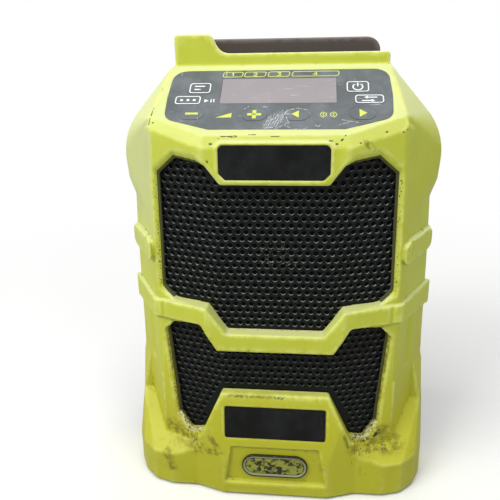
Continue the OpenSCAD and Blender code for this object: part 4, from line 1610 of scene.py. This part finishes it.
@dataclass
class Studio:
    """Camera, soft lamps, pale floor and white surroundings."""

    # Where the camera stands in millimetres, what it faces, and its lens and sensor.
    eye: Place = (18.2, -321.8, 234.9)
    ahead: Place = (-0.105, 0.939, -0.328)
    down: Place = (0.018, -0.328, -0.945)
    lens: float = 42.54
    sensor: float = 36.0
    # Each lamp's name, place in metres, side and power. All face one point.
    lamps: tuple[tuple[str, Place, float, float], ...] = (
        ("key", (-0.8, -0.8, 1.1), 0.7, 11.5),
        ("side", (-1.2, -0.1, 0.7), 0.8, 3.2),
        ("top", (0.0, -0.2, 1.25), 0.7, 6.8),
        ("fill", (0.9, -0.9, 0.8), 0.9, 4.8),
        ("back", (0.3, 1.1, 0.9), 0.9, 5.0))
    aim: Place = (0.0, 0.0, 0.12)
    room: float = 0.22
    # Half the floor's side, and where it starts and ends to fade, in metres.
    floor_half: float = 3.0
    floor_fade: tuple[float, float] = (0.14, 0.6)

    def place_camera(self) -> None:
        """Puts the camera at the viewing angle."""
        data = bpy.data.cameras.new("camera")
        data.lens, data.sensor_width, data.sensor_fit = self.lens, self.sensor, "HORIZONTAL"
        data.clip_start, data.clip_end = 0.01, 20.0
        camera = bpy.data.objects.new("camera", data)
        bpy.context.scene.collection.objects.link(camera)
        back = -Vector(self.ahead).normalized()
        up = -Vector(self.down)
        right = up.cross(back).normalized()
        up = back.cross(right).normalized()
        turn = Matrix((right, up, back)).transposed().to_4x4()
        camera.matrix_world = Matrix.Translation(Vector(self.eye) * MM) @ turn
        bpy.context.scene.camera = camera

    def hang_lamps(self) -> None:
        """Hangs the square soft boxes."""
        for name, place, side, watts in self.lamps:
            data = bpy.data.lights.new(name, "AREA")
            data.shape, data.size, data.energy = "SQUARE", side, watts
            lamp = bpy.data.objects.new(name, data)
            lamp.location = place
            away = Vector(place) - Vector(self.aim)
            lamp.rotation_euler = away.to_track_quat("Z", "Y").to_euler()
            bpy.context.scene.collection.objects.link(lamp)

    def light_room(self) -> None:
        """Sets the even light of the room, which rays see as plain white."""
        world = bpy.data.worlds.new("room")
        world.use_nodes = True
        tree = world.node_tree
        tree.nodes.clear()
        path = add(tree, "ShaderNodeLightPath")
        seen = add(tree, "ShaderNodeMath", {0: path.outputs["Is Camera Ray"],
                                            1: path.outputs["Is Transmission Ray"]},
                   operation="MAXIMUM")
        seen = add(tree, "ShaderNodeMath", {0: seen.outputs[0], 1: path.outputs["Is Glossy Ray"]},
                   operation="MAXIMUM")
        even = add(tree, "ShaderNodeBackground", {"Color": linear("#F4F6F8"),
                                                  "Strength": self.room})
        white = add(tree, "ShaderNodeBackground", {"Color": linear("#FFFFFF"), "Strength": 1.0})
        mix = add(tree, "ShaderNodeMixShader", {0: seen.outputs[0], 1: even.outputs[0],
                                                2: white.outputs[0]})
        add(tree, "ShaderNodeOutputWorld", {0: mix.outputs[0]})
        bpy.context.scene.world = world

    def lay_floor(self) -> None:
        """Lays the pale floor, which fades to white away from the radio."""
        mesh = bpy.data.meshes.new("floor")
        far = self.floor_half
        mesh.from_pydata([(-far, -far, 0), (far, -far, 0), (far, far, 0), (-far, far, 0)], [],
                         [(0, 1, 2, 3)])
        floor = link("floor", mesh)
        r = Recipe("Matt white studio paper")
        tone = r.both(r.patches(90, 0.3, 0.8, 1.0), 0.3)
        fibre = r.patches(2.0, 0.3, 0.7, 2.0, 3)
        path = add(r.tree, "ShaderNodeLightPath")
        colour = r.coats("#A8A8A5", (path.outputs["Is Camera Ray"], "#F3F3F1"), (tone, "#EFEFED"))
        r.surface(Base_Color=colour, Roughness=0.9, Normal=r.relief((fibre, 0.02)))
        away = r.mask(*self.floor_fade, "ShaderNodeVectorMath", {0: r.place}, "Value",
                      operation="LENGTH")
        fade = r.both(away, path.outputs["Is Camera Ray"])
        white = add(r.tree, "ShaderNodeEmission", {"Color": linear("#FFFFFF"), "Strength": 1.0})
        paper = next(n for n in r.tree.nodes if n.type == "BSDF_PRINCIPLED")
        end = next(n for n in r.tree.nodes if n.type == "OUTPUT_MATERIAL")
        mix = add(r.tree, "ShaderNodeMixShader",
                  {0: fade, 1: paper.outputs[0], 2: white.outputs[0]})
        r.tree.links.new(mix.outputs[0], end.inputs[0])
        floor.data.materials.append(r.material)

    def build(self) -> None:
        """Sets up all that surrounds the radio."""
        self.hang_lamps()
        self.light_room()
        self.lay_floor()
        bpy.context.scene.view_settings.view_transform = "Standard"
        log.info("studio ready")


def main() -> None:
    """Builds the radio and its studio."""
    logging.basicConfig(level=logging.INFO, format="%(name)s: %(message)s")
    studio = Studio()
    studio.place_camera()
    radio = Radio(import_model())
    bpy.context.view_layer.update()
    for part in (Housings(radio), Grille(radio), ControlPanel(radio), Badges(radio),
                 Loudspeaker(radio), Insides(radio), Fittings(radio), studio):
        part.build()


if __name__ == "__main__":
    main()
